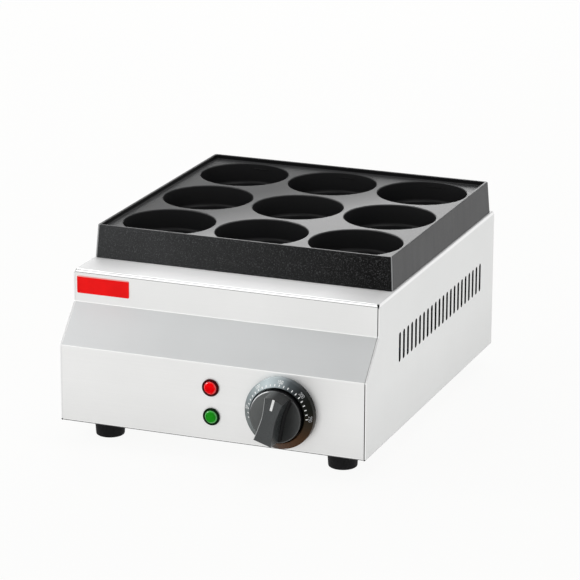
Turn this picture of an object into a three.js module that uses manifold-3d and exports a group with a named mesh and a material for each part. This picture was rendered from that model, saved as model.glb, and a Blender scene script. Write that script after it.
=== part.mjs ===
// Countertop burger griddle: a cast plate with nine cups on a folded sheet housing.
// Millimetres, +Z up, +X to the right seen from the front, the front faces -Y.

import * as THREE from "three";
import { mergeVertices } from "three/addons/utils/BufferGeometryUtils.js";
import Module from "manifold-3d";

const wasm = await Module();
wasm.setup();

// Housing
const footHeight = 24;
const lowerPanelHeight = 87.5;
const slopeHeight = 40.5;
const upperBandHeight = 36.5;
const bandSetback = 38.5;
const sheet = 1.2;
const foldRadius = 3;
const bendRadius = 2;
const seamGap = 1;
const seamFlange = 10;
const baseFlange = 15;
const reliefRadius = 1.7;
const seatGap = 0.3;
const overrun = 2;

// Vent slots in both sides
const ventCount = 22;
const ventWidth = 5.5;
const ventHeight = 32.5;
const ventFromFront = 106.5;
const ventFromRear = 51.05;
const ventFromDeck = 51.5;

// Griddle plate
const plateWidth = 354;
const plateDepth = 346;
const plateHeight = 37.7;
const plateDraft = 2.5;
const plateSideMargin = 3;
const plateRearMargin = 6;
const plateFrontMargin = 49.5;
const plateCornerRadius = 6;
const plateFootChamfer = 0.8;
const plateTopEdge = 1.2;
const rimThickness = 3.5;
const rimHeight = 5.5;
const rimFillet = 1;
const skirtWall = 6;
const webThickness = 6;
const deckLedge = 16;

// Cups
const cupsPerRow = 3;
const cupSideMargin = 9;
const cupEndMargin = 5;
const cupGap = 7;
const cupDepth = 24.5;
const cupDraft = 2.5;
const cupLip = 1.2;
const cupFillet = 4;
const cupWall = 4;
const cupSides = 32;

// Clamping of the heating elements under the cups
const studRadius = 4;
const studBossRadius = 8;
const studBoreDepth = 14;
const studEnd = 6.4;
const nutAcross = 13;
const nutHeight = 6;
const clampWidth = 16;
const clampThickness = 3;
const clampOverhang = 8;

// Heating elements
const elementRadius = 4;
const elementRunSpacing = 44;
const elementEndGap = 18.8;
const elementSideSpace = 40;
const elementElbow = 12;
const elementDrop = 30;
const elementCollarRadius = 3;
const elementPinRadius = 1.5;
const elementPinLength = 12;
const tubeSides = 8;

// Heat shield and insulation
const shieldMargin = 2;
const shieldRailGap = 2.5;
const shieldLegGap = 10;
const shieldSideDrop = 6.2;
const shieldFlange = 8;
const insulationThickness = 15;
const insulationGap = 1.7;

// Support rails under the deck
const railLeg = 16;
const railThickness = 2;
const railInsetFront = 12;
const railInsetRear = 20;

// Back panel and base
const backFlange = 10;
const baseSlotRows = 2;
const baseSlotsPerRow = 6;
const baseSlotLength = 40;
const baseSlotWidth = 6;
const baseSlotPitch = 22;
const baseSlotRowSpacing = 150;

// Feet
const footInset = 41;
const footTopRadius = 17.8;
const footBottomRadius = 16;
const footEdge = 1.2;
const footRecessRadius = 6;
const footRecessDepth = 12;
const footBoltRadius = 2.5;
const footBoltHeadRadius = 4.4;
const footBoltHeadHeight = 3;
const footNutAcross = 8;
const footNutHeight = 4;
const boltClearance = 0.3;

// Thermostat, dial and knob
const controlRiseShare = 0.50514;
const knobFromSide = 96.5;
const knobTilt = THREE.MathUtils.degToRad(15);
const dialMargin = 4.4;
const dialFloorReach = 8;
const dialRimReach = 8.5;
const dialCrownReach = 15;
const dialKnobGap = 1.8;
const dialWall = 1.6;
const dialEdge = 0.6;
const dialBoreRadius = 9;
const dialScaleWidth = 10.3;
const knobBackGap = 0.8;
const knobFaceReach = 21;
const knobReach = 42.5;
const knobEdge = 1;
const knobWall = 3;
const knobHubRadius = 7;
const knobHubSocket = 16;
const gripTipInset = 0.3;
const gripTailInset = 5.2;
const gripEndHalfWidth = 11;
const gripWaistHalfWidth = 8.4;
const gripDraft = 0.3;
const gripEdge = 0.4;
const gripRoot = 4;
const gripSteps = 5;
const pointerStart = 15.2;
const pointerLength = 13.8;
const pointerWidth = 2.8;
const pointerDepth = 1.2;
const shaftRadius = 3;
const shaftFlatShare = 0.6;
const shaftSocketDepth = 8;
const thermostatWidth = 40;
const thermostatDepth = 34;
const thermostatHeight = 46;
const thermostatPlateWidth = 52;
const thermostatPlateHeight = 34;
const thermostatPlateThickness = 1.6;
const thermostatScrewSpacing = 28;
const thermostatScrewRadius = 2;
const thermostatScrewHeadRadius = 3.6;
const thermostatScrewHeadHeight = 2;
const thermostatTabCount = 3;
const thermostatTabPitch = 11;
const thermostatTabWidth = 6.3;
const thermostatTabThickness = 0.8;
const thermostatTabLength = 9;
const shaftHoleRadius = 5;

// Indicator lamps
const lampFromKnob = 82.5;
const lampSpacing = 33;
const lampFlangeRadius = 10;
const lampFlangeThickness = 2.2;
const lampFaceRadius = 7;
const lampReach = 5;
const lampBarrelRadius = 6;
const lampBarrelLength = 24;
const lampNutAcross = 18;
const lampNutHeight = 4;

// Temperature sensor under the plate
const bulbRadius = 3;
const bulbLength = 80;
const clipWidth = 10;
const clipEar = 8;
const clipThickness = 1;
const capillaryRadius = 1;

// Mains entry, terminal block and bonding stud on the back
const glandFromMiddle = 75;
const glandRise = 28;
const glandThreadRadius = 7.5;
const glandBoreRadius = 4.5;
const glandCollarAcross = 22;
const glandCollarThickness = 5;
const glandReach = 18;
const glandCapRadius = 10;
const glandMouthRadius = 7;
const glandInnerLength = 9;
const glandNutThickness = 4;
const bondFromGland = 50;
const bondStudRadius = 3;
const bondStudOuter = 12;
const bondNutAcross = 10;
const bondNutThickness = 4;
const blockWidth = 62;
const blockDepth = 22;
const blockHeight = 12;
const blockRibHeight = 8;
const blockRibWidth = 3;
const blockWays = 3;
const blockFromRear = 62;

// Wires
const wireRadius = 1.4;
const wireSides = 6;
const wireBend = 6;
const wireLoop = 14;

// Facets
const roundSides = 24;
const smallSides = 14;
const cornerSteps = 3;

// Places worked out from the sizes above, about the middle of the housing's footprint
const bodyWidth = plateWidth + 2 * plateSideMargin;
const bodyDepth = bandSetback + plateFrontMargin + plateDepth + plateRearMargin;
const halfWidth = bodyWidth / 2;
const frontY = -bodyDepth / 2;
const rearY = bodyDepth / 2;
const bandY = frontY + bandSetback;
const bodyBottomZ = footHeight;
const slopeFootZ = bodyBottomZ + lowerPanelHeight;
const slopeHeadZ = slopeFootZ + slopeHeight;
const deckZ = slopeHeadZ + upperBandHeight;
const deckUnderZ = deckZ - sheet;
const liningInset = sheet + seatGap;
const sideInnerX = halfWidth - sheet;
const panelInnerY = frontY + sheet;
const backInnerY = rearY - sheet;
const plateRearY = rearY - plateRearMargin;
const plateFrontY = plateRearY - plateDepth;
const plateY = (plateRearY + plateFrontY) / 2;
const cupPitchX = (plateWidth - 2 * cupSideMargin) / cupsPerRow;
const cupPitchY = (plateDepth - 2 * cupEndMargin) / cupsPerRow;
const cupRadius = (Math.min(cupPitchX, cupPitchY) - cupGap) / 2;
const plateBottomZ = deckZ + seatGap;
const plateTopZ = plateBottomZ + plateHeight;
const cookingZ = plateTopZ - rimHeight;
const webUnderZ = cookingZ - webThickness;
const cupFloorZ = cookingZ - cupDepth;
const cupUnderZ = cupFloorZ - cupWall;
const elementZ = cupUnderZ - seatGap - elementRadius;
const clampTopZ = elementZ - elementRadius - seatGap;
const clampUnderZ = clampTopZ - clampThickness;
const studTopZ = cupUnderZ + studBoreDepth - seatGap;
const studLowZ = clampUnderZ - seatGap - nutHeight - studEnd;
const elementLegX = halfWidth - elementSideSpace;
const elementLowZ = elementZ - elementDrop;
const elementTipZ = elementLowZ - elementPinLength;
const shieldLeftX = -(halfWidth - liningInset - railLeg - shieldRailGap);
const shieldRightX = elementLegX - elementRadius - shieldLegGap;
const shieldFloorZ = studLowZ - insulationGap - insulationThickness - liningInset;
const shieldSideZ = elementZ - elementRadius - shieldSideDrop;
const elementFarX = shieldLeftX + sheet + elementEndGap;
const windowHalfWidth = plateWidth / 2 - deckLedge;
const windowFrontY = plateFrontY + deckLedge;
const windowRearY = plateRearY - deckLedge;
const baseUnderZ = bodyBottomZ + sheet + seatGap;
const baseTopZ = baseUnderZ + sheet;
const bulbY = plateY - cupPitchY / 2;
const bulbZ = cupUnderZ - seatGap - bulbRadius;
const ventPitch = (bodyDepth - ventFromFront - ventFromRear) / (ventCount - 1);
const ventMiddleZ = deckZ - ventFromDeck - ventHeight / 2;
const controlRise = lowerPanelHeight * controlRiseShare;
const controlZ = bodyBottomZ + controlRise;
const dialRadius = controlRise - dialMargin;
const knobRadius = dialRadius - dialScaleWidth;
const knobX = halfWidth - knobFromSide;
const lampX = knobX - lampFromKnob;
const glandX = -glandFromMiddle;
const glandZ = bodyBottomZ + glandRise;
const bondX = glandX + bondFromGland;

// Materials
const finishes = {
  stainless: { color: "#d9dadb", roughness: 0.32, metalness: 0.9 },
  castBlack: { color: "#3b3d40", roughness: 0.55, metalness: 0.3 },
  elementSteel: { color: "#6f675e", roughness: 0.45, metalness: 0.85 },
  zinc: { color: "#b9bcc0", roughness: 0.4, metalness: 0.85 },
  insulation: { color: "#efeee8", roughness: 0.95, metalness: 0 },
  rubber: { color: "#17181a", roughness: 0.75, metalness: 0 },
  knobPlastic: { color: "#4b4f54", roughness: 0.4, metalness: 0 },
  pointerWhite: { color: "#f4f4f2", roughness: 0.5, metalness: 0 },
  dialMetal: { color: "#7b8286", roughness: 0.3, metalness: 0.7 },
  blackPlastic: { color: "#26282a", roughness: 0.5, metalness: 0 },
  redLens: { color: "#e0101a", roughness: 0.15, metalness: 0 },
  greenLens: { color: "#1d8a2a", roughness: 0.15, metalness: 0 },
  copper: { color: "#b66f45", roughness: 0.35, metalness: 0.9 },
  blockPlastic: { color: "#e9e5da", roughness: 0.6, metalness: 0 },
  brass: { color: "#c2a052", roughness: 0.35, metalness: 0.9 },
  wireRed: { color: "#a8281f", roughness: 0.6, metalness: 0 },
  wireBlue: { color: "#2b4f9c", roughness: 0.6, metalness: 0 },
};

function point(a, b) {
  return new THREE.Vector2(a, b);
}

// Turns a closed geometry into a solid that can be joined and cut
function solidOf(geometry) {
  const bare = geometry.index ? geometry.toNonIndexed() : geometry.clone();
  bare.deleteAttribute("normal");
  bare.deleteAttribute("uv");
  const merged = mergeVertices(bare);
  const corners = merged.index.array;
  const kept = [];
  for (let i = 0; i < corners.length; i += 3) {
    const [a, b, c] = [corners[i], corners[i + 1], corners[i + 2]];
    if (a !== b && b !== c && c !== a) kept.push(a, b, c);
  }
  const vertProperties = new Float32Array(merged.attributes.position.array);
  const triVerts = new Uint32Array(kept);
  return new wasm.Manifold(new wasm.Mesh({ numProp: 3, vertProperties, triVerts }));
}

function geometryOf(solid) {
  const mesh = solid.getMesh();
  const stride = mesh.numProp;
  const positions = [];
  for (let i = 0; i < mesh.vertProperties.length; i += stride) {
    positions.push(...mesh.vertProperties.slice(i, i + 3));
  }
  const geometry = new THREE.BufferGeometry();
  geometry.setAttribute("position", new THREE.Float32BufferAttribute(positions, 3));
  geometry.setIndex([...mesh.triVerts]);
  const faceted = geometry.toNonIndexed();
  faceted.computeVertexNormals();
  return faceted;
}

function piece(name, solid, finish) {
  const material = new THREE.MeshStandardMaterial(finishes[finish]);
  const mesh = new THREE.Mesh(geometryOf(solid), material);
  mesh.name = name;
  return mesh;
}

function joined(solids) {
  return solids.reduce((whole, next) => whole.add(next));
}

function cutBy(solid, cutters) {
  return cutters.reduce((left, cutter) => left.subtract(cutter), solid);
}

// A block between two corners, given in any order
function box(one, other) {
  const size = one.map((value, i) => Math.abs(other[i] - value));
  const middle = one.map((value, i) => (other[i] + value) / 2);
  const geometry = new THREE.BoxGeometry(...size);
  geometry.translate(...middle);
  return solidOf(geometry);
}

// An outline pushed along one axis: its points are [y, z] along x, [x, z] along y, [x, y] along z
function prism(outline, axis, from, to) {
  const turnedOutline = axis === "y" ? outline.map((p) => point(p.y, p.x)) : outline;
  const settings = { depth: to - from, bevelEnabled: false };
  const geometry = new THREE.ExtrudeGeometry(new THREE.Shape(turnedOutline), settings);
  geometry.translate(0, 0, from);
  const [x, y, z] = [[1, 0, 0], [0, 1, 0], [0, 0, 1]].map((v) => new THREE.Vector3(...v));
  const frames = { x: [y, z, x], y: [z, x, y], z: [x, y, z] };
  geometry.applyMatrix4(new THREE.Matrix4().makeBasis(...frames[axis]));
  return solidOf(geometry);
}

// A profile of [radius, reach] pairs turned about an axis that starts at a place
function turned(profile, place, direction, sides = roundSides) {
  const points = profile.map(([radius, reach]) => point(radius, reach));
  const geometry = new THREE.LatheGeometry(points, sides);
  const up = new THREE.Vector3(0, 1, 0);
  const turn = new THREE.Quaternion().setFromUnitVectors(up, new THREE.Vector3(...direction));
  geometry.applyQuaternion(turn);
  geometry.translate(...place);
  return solidOf(geometry);
}

function rod(radius, length, place, direction, sides = smallSides) {
  const profile = [[0, 0], [radius, 0], [radius, length], [0, length]];
  return turned(profile, place, direction, sides);
}

// The points of an arc that rounds one corner, in the plane or in space
function roundedCorner(before, corner, after, radius) {
  if (!radius) return [corner];
  const back = before.clone().sub(corner).normalize();
  const onward = after.clone().sub(corner).normalize();
  const halfAngle = Math.acos(THREE.MathUtils.clamp(back.dot(onward), -1, 1)) / 2;
  const start = corner.clone().addScaledVector(back, radius / Math.tan(halfAngle));
  const inward = back.clone().add(onward).normalize();
  const centre = corner.clone().addScaledVector(inward, radius / Math.sin(halfAngle));
  const arm = start.clone().sub(centre);
  const sweep = Math.PI - 2 * halfAngle;
  return Array.from({ length: cornerSteps + 1 }, (_, i) => {
    const angle = (sweep * i) / cornerSteps;
    const along = centre.clone().addScaledVector(arm, Math.cos(angle));
    return along.addScaledVector(back, -radius * Math.sin(angle));
  });
}

function roundedOutline(corners) {
  const count = corners.length;
  return corners.flatMap(({ at, radius }, i) => {
    const before = corners[(i + count - 1) % count].at;
    const after = corners[(i + 1) % count].at;
    return roundedCorner(before, at, after, radius);
  });
}

function roundedRectangle(width, depth, radius, middle) {
  const corners = [[-1, -1], [1, -1], [1, 1], [-1, 1]].map(([sideX, sideY]) => {
    const at = point(middle.x + (sideX * width) / 2, middle.y + (sideY * depth) / 2);
    return { at, radius };
  });
  return roundedOutline(corners);
}

function ring(radius, sides, middle = point(0, 0)) {
  const turn = (2 * Math.PI) / sides;
  return Array.from({ length: sides }, (_, i) => {
    const angle = i * turn;
    return point(middle.x + radius * Math.cos(angle), middle.y + radius * Math.sin(angle));
  });
}

function hexagon(across, middle) {
  return ring(across / Math.sqrt(3), 6, middle);
}

// A path through points in space, with a ring of its tube at each
class PointPath extends THREE.Curve {
  constructor(points) {
    super();
    this.points = points;
  }

  getPointAt(share) {
    return this.points[Math.round(share * (this.points.length - 1))].clone();
  }

  getTangentAt(share) {
    const here = Math.round(share * (this.points.length - 1));
    const ahead = this.points[Math.min(here + 1, this.points.length - 1)];
    const behind = this.points[Math.max(here - 1, 0)];
    return ahead.clone().sub(behind).normalize();
  }
}

// A tube through corners in space, each rounded by a bend radius
function tube(corners, bend, radius, sides) {
  const points = corners.flatMap((at, i) => {
    const atEnd = i === 0 || i === corners.length - 1;
    const cornerBend = Array.isArray(bend) ? bend[i] : bend;
    return atEnd ? [at] : roundedCorner(corners[i - 1], at, corners[i + 1], cornerBend);
  });
  const spaced = points.filter((p, i) => i === 0 || p.distanceTo(points[i - 1]) > seatGap / 2);
  const section = new THREE.Shape(ring(radius, sides));
  const settings = {
    steps: spaced.length - 1,
    extrudePath: new PointPath(spaced),
    bevelEnabled: false,
  };
  return solidOf(new THREE.ExtrudeGeometry(section, settings));
}

// The skin over outlines of equal length, each at its own height
function loft(rings) {
  const count = rings[0].outline.length;
  const positions = rings.flatMap(({ outline, z }) => outline.flatMap((p) => [p.x, p.y, z]));
  const faces = [];
  for (let k = 0; k < rings.length - 1; k++) {
    for (let i = 0; i < count; i++) {
      const here = k * count + i;
      const beside = k * count + ((i + 1) % count);
      faces.push(here, beside, beside + count, here, beside + count, here + count);
    }
  }
  const lastStart = (rings.length - 1) * count;
  for (const [a, b, c] of THREE.ShapeUtils.triangulateShape(rings[0].outline, [])) {
    faces.push(a, c, b, lastStart + a, lastStart + b, lastStart + c);
  }
  const geometry = new THREE.BufferGeometry();
  geometry.setAttribute("position", new THREE.Float32BufferAttribute(positions, 3));
  geometry.setIndex(faces);
  return geometry;
}

// The housing's side outline, drawn in by an inset, to a rear and a bottom of their own
function sideOutline(inset, rear, bottom) {
  const lean = Math.atan2(bandSetback, slopeHeight);
  const shift = inset * Math.tan(lean / 2);
  const top = deckZ - inset;
  return roundedOutline([
    { at: point(frontY + inset, bottom), radius: Math.max(bendRadius - inset, 0) },
    { at: point(rear, bottom), radius: 0 },
    { at: point(rear, top), radius: 0 },
    { at: point(bandY + inset, top), radius: Math.max(foldRadius - inset, 0) },
    { at: point(bandY + inset, slopeHeadZ - shift), radius: bendRadius + inset },
    { at: point(frontY + inset, slopeFootZ - shift), radius: Math.max(bendRadius - inset, 0) },
  ]);
}

function crossOutline(inset, bottom) {
  const side = halfWidth - inset;
  const top = deckZ - inset;
  const lowRadius = Math.max(bendRadius - inset, 0);
  const topRadius = Math.max(foldRadius - inset, 0);
  return roundedOutline([
    { at: point(-side, bottom), radius: lowRadius },
    { at: point(side, bottom), radius: lowRadius },
    { at: point(side, top), radius: topRadius },
    { at: point(-side, top), radius: topRadius },
  ]);
}

function housingEnvelope(inset, rear, bottom) {
  const along = prism(sideOutline(inset, rear, bottom), "x", -halfWidth, halfWidth);
  const across = prism(crossOutline(inset, bottom), "y", frontY - overrun, rear + overrun);
  return along.intersect(across);
}

// One sheet folded into deck, front and sides, open below and behind
function housingShell() {
  const openRearY = rearY + overrun;
  const outer = housingEnvelope(0, rearY, bodyBottomZ);
  const inner = housingEnvelope(sheet, openRearY, bodyBottomZ + sheet);
  const lined = housingEnvelope(2 * sheet, openRearY, bodyBottomZ + sheet);
  const bottomOpening = box(
    [-halfWidth + baseFlange, frontY + baseFlange, bodyBottomZ - overrun],
    [halfWidth - baseFlange, openRearY, bodyBottomZ + sheet + overrun],
  );
  const window = box(
    [-windowHalfWidth, windowFrontY, deckUnderZ - overrun],
    [windowHalfWidth, windowRearY, deckZ + overrun],
  );
  const skin = cutBy(outer, [inner, bottomOpening, window, ...seamCutters()]);
  const flanges = [-1, 1].map((hand) => {
    const zone = box(
      [hand * (sideInnerX - seamFlange), frontY, baseTopZ + seatGap],
      [hand * halfWidth, bandY + foldRadius, deckZ - foldRadius],
    );
    return inner.subtract(lined).intersect(zone);
  });
  const shell = cutBy(joined([skin, ...flanges]), [...ventCutters(), ...controlHoles()]);
  return piece("housing_shell", shell, "stainless");
}

// The open seams at the two front corners, with a relief hole where the folds meet
function seamCutters() {
  return [-1, 1].flatMap((hand) => {
    const seam = box(
      [hand * (sideInnerX - seamGap), frontY - overrun, bodyBottomZ - overrun],
      [hand * sideInnerX, bandY + foldRadius, deckZ - foldRadius],
    );
    const place = [hand * (sideInnerX - seamGap / 2), bandY + reliefRadius, deckZ - foldRadius];
    return [seam, rod(reliefRadius, foldRadius + overrun, place, [0, 0, 1])];
  });
}

// An upright slot with round ends
function slotOutline(width, height, middle) {
  return roundedRectangle(width, height, width / 2, middle);
}

function ventCutters() {
  return Array.from({ length: ventCount }, (_, i) => {
    const middle = point(frontY + ventFromFront + i * ventPitch, ventMiddleZ);
    return prism(slotOutline(ventWidth, ventHeight, middle), "x", -bodyWidth, bodyWidth);
  });
}

function lampHeights() {
  return [controlZ + lampSpacing / 2, controlZ - lampSpacing / 2];
}

function screwPlaces() {
  return [-1, 1].map((hand) => knobX + (hand * thermostatScrewSpacing) / 2);
}

function controlHoles() {
  const drilled = (radius, x, z) => {
    const outline = ring(radius, smallSides, point(x, z));
    return prism(outline, "y", frontY - overrun, panelInnerY + overrun);
  };
  return [
    drilled(shaftHoleRadius, knobX, controlZ),
    ...screwPlaces().map((x) => drilled(thermostatScrewRadius + boltClearance, x, controlZ)),
    ...lampHeights().map((z) => drilled(lampBarrelRadius + boltClearance, lampX, z)),
  ];
}

// A flat panel with edges folded forward, set between the sides under the deck
function backPanel() {
  const low = baseTopZ + seatGap;
  const outer = prism(crossOutline(liningInset, low), "y", rearY - backFlange, rearY);
  const hollowOutline = crossOutline(liningInset + sheet, low + sheet);
  const hollow = prism(hollowOutline, "y", rearY - backFlange - overrun, backInnerY);
  const drilled = (radius, x) => {
    const outline = ring(radius + boltClearance, smallSides, point(x, glandZ));
    return prism(outline, "y", backInnerY - overrun, rearY + overrun);
  };
  const holes = [drilled(glandThreadRadius, glandX), drilled(bondStudRadius, bondX)];
  return piece("back_panel", cutBy(outer, [hollow, ...holes]), "stainless");
}

function footPlaces() {
  const x = halfWidth - footInset;
  const y = rearY - footInset;
  return [
    { name: "front_left", x: -x, y: -y },
    { name: "front_right", x, y: -y },
    { name: "rear_left", x: -x, y },
    { name: "rear_right", x, y },
  ];
}

function basePlate() {
  const side = sideInnerX - seatGap;
  const plate = box(
    [-side, panelInnerY + sheet + seatGap, baseUnderZ],
    [side, backInnerY - seatGap, baseTopZ],
  );
  const through = (outline) => prism(outline, "z", baseUnderZ - overrun, baseTopZ + overrun);
  const boltHoles = footPlaces().map(({ x, y }) => {
    return through(ring(footBoltRadius + boltClearance, smallSides, point(x, y)));
  });
  const slots = [];
  for (let row = 0; row < baseSlotRows; row++) {
    const y = (row - (baseSlotRows - 1) / 2) * baseSlotRowSpacing;
    for (let i = 0; i < baseSlotsPerRow; i++) {
      const x = (i - (baseSlotsPerRow - 1) / 2) * baseSlotPitch;
      slots.push(through(slotOutline(baseSlotWidth, baseSlotLength, point(x, y))));
    }
  }
  return piece("base_plate", cutBy(plate, [...boltHoles, ...slots]), "stainless");
}

// The plate's outline at a height, narrowed by the draft and drawn in by an inset
function plateRing(z, inset) {
  const riseShare = Math.min(Math.max((z - plateBottomZ) / plateHeight, 0), 1);
  const lean = 2 * plateDraft * riseShare;
  const width = plateWidth - lean - 2 * inset;
  const depth = plateDepth - lean - 2 * inset;
  const radius = Math.max(plateCornerRadius - inset, rimFillet);
  return { outline: roundedRectangle(width, depth, radius, point(0, plateY)), z };
}

function cupPlaces() {
  const places = [];
  for (let row = 0; row < cupsPerRow; row++) {
    for (let column = 0; column < cupsPerRow; column++) {
      const x = (column - (cupsPerRow - 1) / 2) * cupPitchX;
      const y = plateY + (row - (cupsPerRow - 1) / 2) * cupPitchY;
      places.push([x, y]);
    }
  }
  return places;
}

function cupBody([x, y]) {
  const topRadius = cupRadius + cupWall;
  const floorRadius = topRadius - cupDraft;
  const height = cookingZ - rimFillet - cupUnderZ;
  const profile = [
    [0, 0],
    [floorRadius - cupFillet, 0],
    [floorRadius, cupFillet],
    [topRadius, height],
    [0, height],
  ];
  return turned(profile, [x, y, cupUnderZ], [0, 0, 1], cupSides);
}

function cupHollow([x, y]) {
  const floorRadius = cupRadius - cupDraft;
  const bendReach = cupFillet * (1 - Math.SQRT1_2);
  const profile = [
    [0, 0],
    [floorRadius - cupFillet, 0],
    [floorRadius - bendReach, bendReach],
    [floorRadius, cupFillet],
    [cupRadius, cupDepth - cupLip],
    [cupRadius + cupLip, cupDepth],
    [cupRadius + cupLip, cupDepth + overrun],
    [0, cupDepth + overrun],
  ];
  return turned(profile, [x, y, cupFloorZ], [0, 0, 1], cupSides);
}

function studPlaces() {
  const x = cupPitchX / 2;
  const reachY = cupPitchY / 2;
  return [
    { name: "front_left", x: -x, y: plateY - reachY },
    { name: "front_right", x, y: plateY - reachY },
    { name: "rear_left", x: -x, y: plateY + reachY },
    { name: "rear_right", x, y: plateY + reachY },
  ];
}

// The cast plate: raised rim, nine cups, drafted skirt and bosses for the clamp studs
function griddlePlate() {
  const block = solidOf(loft([
    plateRing(plateBottomZ, plateFootChamfer),
    plateRing(plateBottomZ + plateFootChamfer, 0),
    plateRing(plateTopZ - plateTopEdge, 0),
    plateRing(plateTopZ, plateTopEdge),
  ]));
  const pocket = solidOf(loft([
    plateRing(cookingZ, rimThickness + rimFillet),
    plateRing(cookingZ + rimFillet, rimThickness),
    plateRing(plateTopZ, rimThickness),
    plateRing(plateTopZ + overrun, rimThickness),
  ]));
  const underside = solidOf(loft([
    plateRing(plateBottomZ - overrun, skirtWall),
    plateRing(plateBottomZ, skirtWall),
    plateRing(webUnderZ, skirtWall),
  ]));
  const bossHeight = webUnderZ + rimFillet - cupUnderZ;
  const bosses = studPlaces().map(({ x, y }) => {
    return rod(studBossRadius, bossHeight, [x, y, cupUnderZ], [0, 0, 1]);
  });
  const bores = studPlaces().map(({ x, y }) => {
    const place = [x, y, cupUnderZ - overrun];
    return rod(studRadius + boltClearance, studBoreDepth + overrun, place, [0, 0, 1]);
  });
  const cast = cutBy(block, [pocket, underside]);
  const full = joined([cast, ...cupPlaces().map(cupBody), ...bosses]);
  const plate = cutBy(full, [...cupPlaces().map(cupHollow), ...bores]);
  return piece("griddle_plate", plate, "castBlack");
}

function elementRows() {
  return [
    { name: "front", y: plateY - cupPitchY },
    { name: "middle", y: plateY },
    { name: "rear", y: plateY + cupPitchY },
  ];
}

// A hairpin heating element under one row of cups, its two ends turned down
function heatingElement({ name, y }) {
  const halfRun = elementRunSpacing / 2;
  const sheath = tube([
    new THREE.Vector3(elementLegX, y - halfRun, elementLowZ),
    new THREE.Vector3(elementLegX, y - halfRun, elementZ),
    new THREE.Vector3(elementFarX, y - halfRun, elementZ),
    new THREE.Vector3(elementFarX, y + halfRun, elementZ),
    new THREE.Vector3(elementLegX, y + halfRun, elementZ),
    new THREE.Vector3(elementLegX, y + halfRun, elementLowZ),
  ], [0, elementElbow, halfRun, halfRun, elementElbow, 0], elementRadius, tubeSides);
  const pins = [-halfRun, halfRun].flatMap((across) => {
    const collar = [elementLegX, y + across, elementLowZ - elementCollarRadius];
    const pin = [elementLegX, y + across, elementTipZ];
    return [
      rod(elementCollarRadius, 2 * elementCollarRadius, collar, [0, 0, 1]),
      rod(elementPinRadius, elementPinLength, pin, [0, 0, 1], wireSides),
    ];
  });
  return piece("heating_element_" + name, joined([sheath, ...pins]), "elementSteel");
}

// A flat bar across the elements, held up by two studs
function clampBar(name, x) {
  const reach = cupPitchY + elementRunSpacing / 2 + clampOverhang;
  const bar = box(
    [x - clampWidth / 2, plateY - reach, clampUnderZ],
    [x + clampWidth / 2, plateY + reach, clampTopZ],
  );
  const holes = studPlaces().map((stud) => {
    const outline = ring(studRadius + boltClearance, smallSides, point(x, stud.y));
    return prism(outline, "z", clampUnderZ - overrun, clampTopZ + overrun);
  });
  return piece("clamp_bar_" + name, cutBy(bar, holes), "zinc");
}

function clampStud({ name, x, y }) {
  const stud = rod(studRadius, studTopZ - studLowZ, [x, y, studLowZ], [0, 0, 1]);
  return piece("clamp_stud_" + name, stud, "zinc");
}

// A hexagon nut standing along an axis, bored for its bolt
function nut(name, across, bore, axis, middle, from, to, finish) {
  const body = prism(hexagon(across, middle), axis, from, to);
  const hole = prism(ring(bore, smallSides, middle), axis, from - overrun, to + overrun);
  return piece(name, body.subtract(hole), finish);
}

function clampNut({ name, x, y }) {
  const top = clampUnderZ - seatGap;
  const bore = studRadius + boltClearance;
  return nut("clamp_nut_" + name, nutAcross, bore, "z", point(x, y), top - nutHeight, top, "zinc");
}

// A tray hung under the deck, its front and rear walls flanged, its ends lower
function heatShield() {
  const frontWallY = windowFrontY - shieldMargin;
  const rearWallY = windowRearY + shieldMargin;
  const top = deckUnderZ - seatGap;
  const hung = box([shieldLeftX, frontWallY, shieldFloorZ], [shieldRightX, rearWallY, top]);
  const flange = box(
    [shieldLeftX, frontWallY - shieldFlange, top - sheet],
    [shieldRightX, rearWallY + shieldFlange, top],
  );
  const hollow = box(
    [shieldLeftX + sheet, frontWallY + sheet, shieldFloorZ + sheet],
    [shieldRightX - sheet, rearWallY - sheet, top + overrun],
  );
  const endCuts = box(
    [shieldLeftX - overrun, frontWallY + sheet, shieldSideZ],
    [shieldRightX + overrun, rearWallY - sheet, top + overrun],
  );
  return piece("heat_shield", cutBy(hung.add(flange), [hollow, endCuts]), "zinc");
}

function insulationPad() {
  const inset = liningInset;
  const low = shieldFloorZ + inset;
  const pad = box(
    [shieldLeftX + inset, windowFrontY - shieldMargin + inset, low],
    [shieldRightX - inset, windowRearY + shieldMargin - inset, low + insulationThickness],
  );
  return piece("insulation_pad", pad, "insulation");
}

// An angle under the deck along one side, carrying the plate's weight
function supportRail(name, hand) {
  const within = prism(crossOutline(liningInset, bodyBottomZ), "y", frontY, rearY);
  const angle = ([inset, from, to]) => box(
    [hand * (halfWidth - liningInset - inset), bandY + railInsetFront, from],
    [hand * (halfWidth - liningInset - railLeg), rearY - railInsetRear, to],
  );
  const top = deckZ - liningInset;
  const leg = angle([0, top - railLeg, top]);
  const recess = angle([railThickness, top - railLeg - overrun, top - railThickness]);
  return piece("support_rail_" + name, leg.subtract(recess).intersect(within), "zinc");
}

// A rubber foot, recessed below for its bolt
function foot({ name, x, y }) {
  const height = baseUnderZ - seatGap;
  const bore = footBoltRadius + boltClearance;
  const profile = [
    [footBottomRadius - footEdge, 0],
    [footBottomRadius, footEdge],
    [footTopRadius, height - footEdge],
    [footTopRadius, height],
    [bore, height],
    [bore, footRecessDepth],
    [footRecessRadius, footRecessDepth],
    [footRecessRadius, 0],
    [footBottomRadius - footEdge, 0],
  ];
  return piece("foot_" + name, turned(profile, [x, y, 0], [0, 0, 1]), "rubber");
}

const footBoltHeadTopZ = footRecessDepth - seatGap;
const footNutZ = baseTopZ + seatGap;

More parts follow.
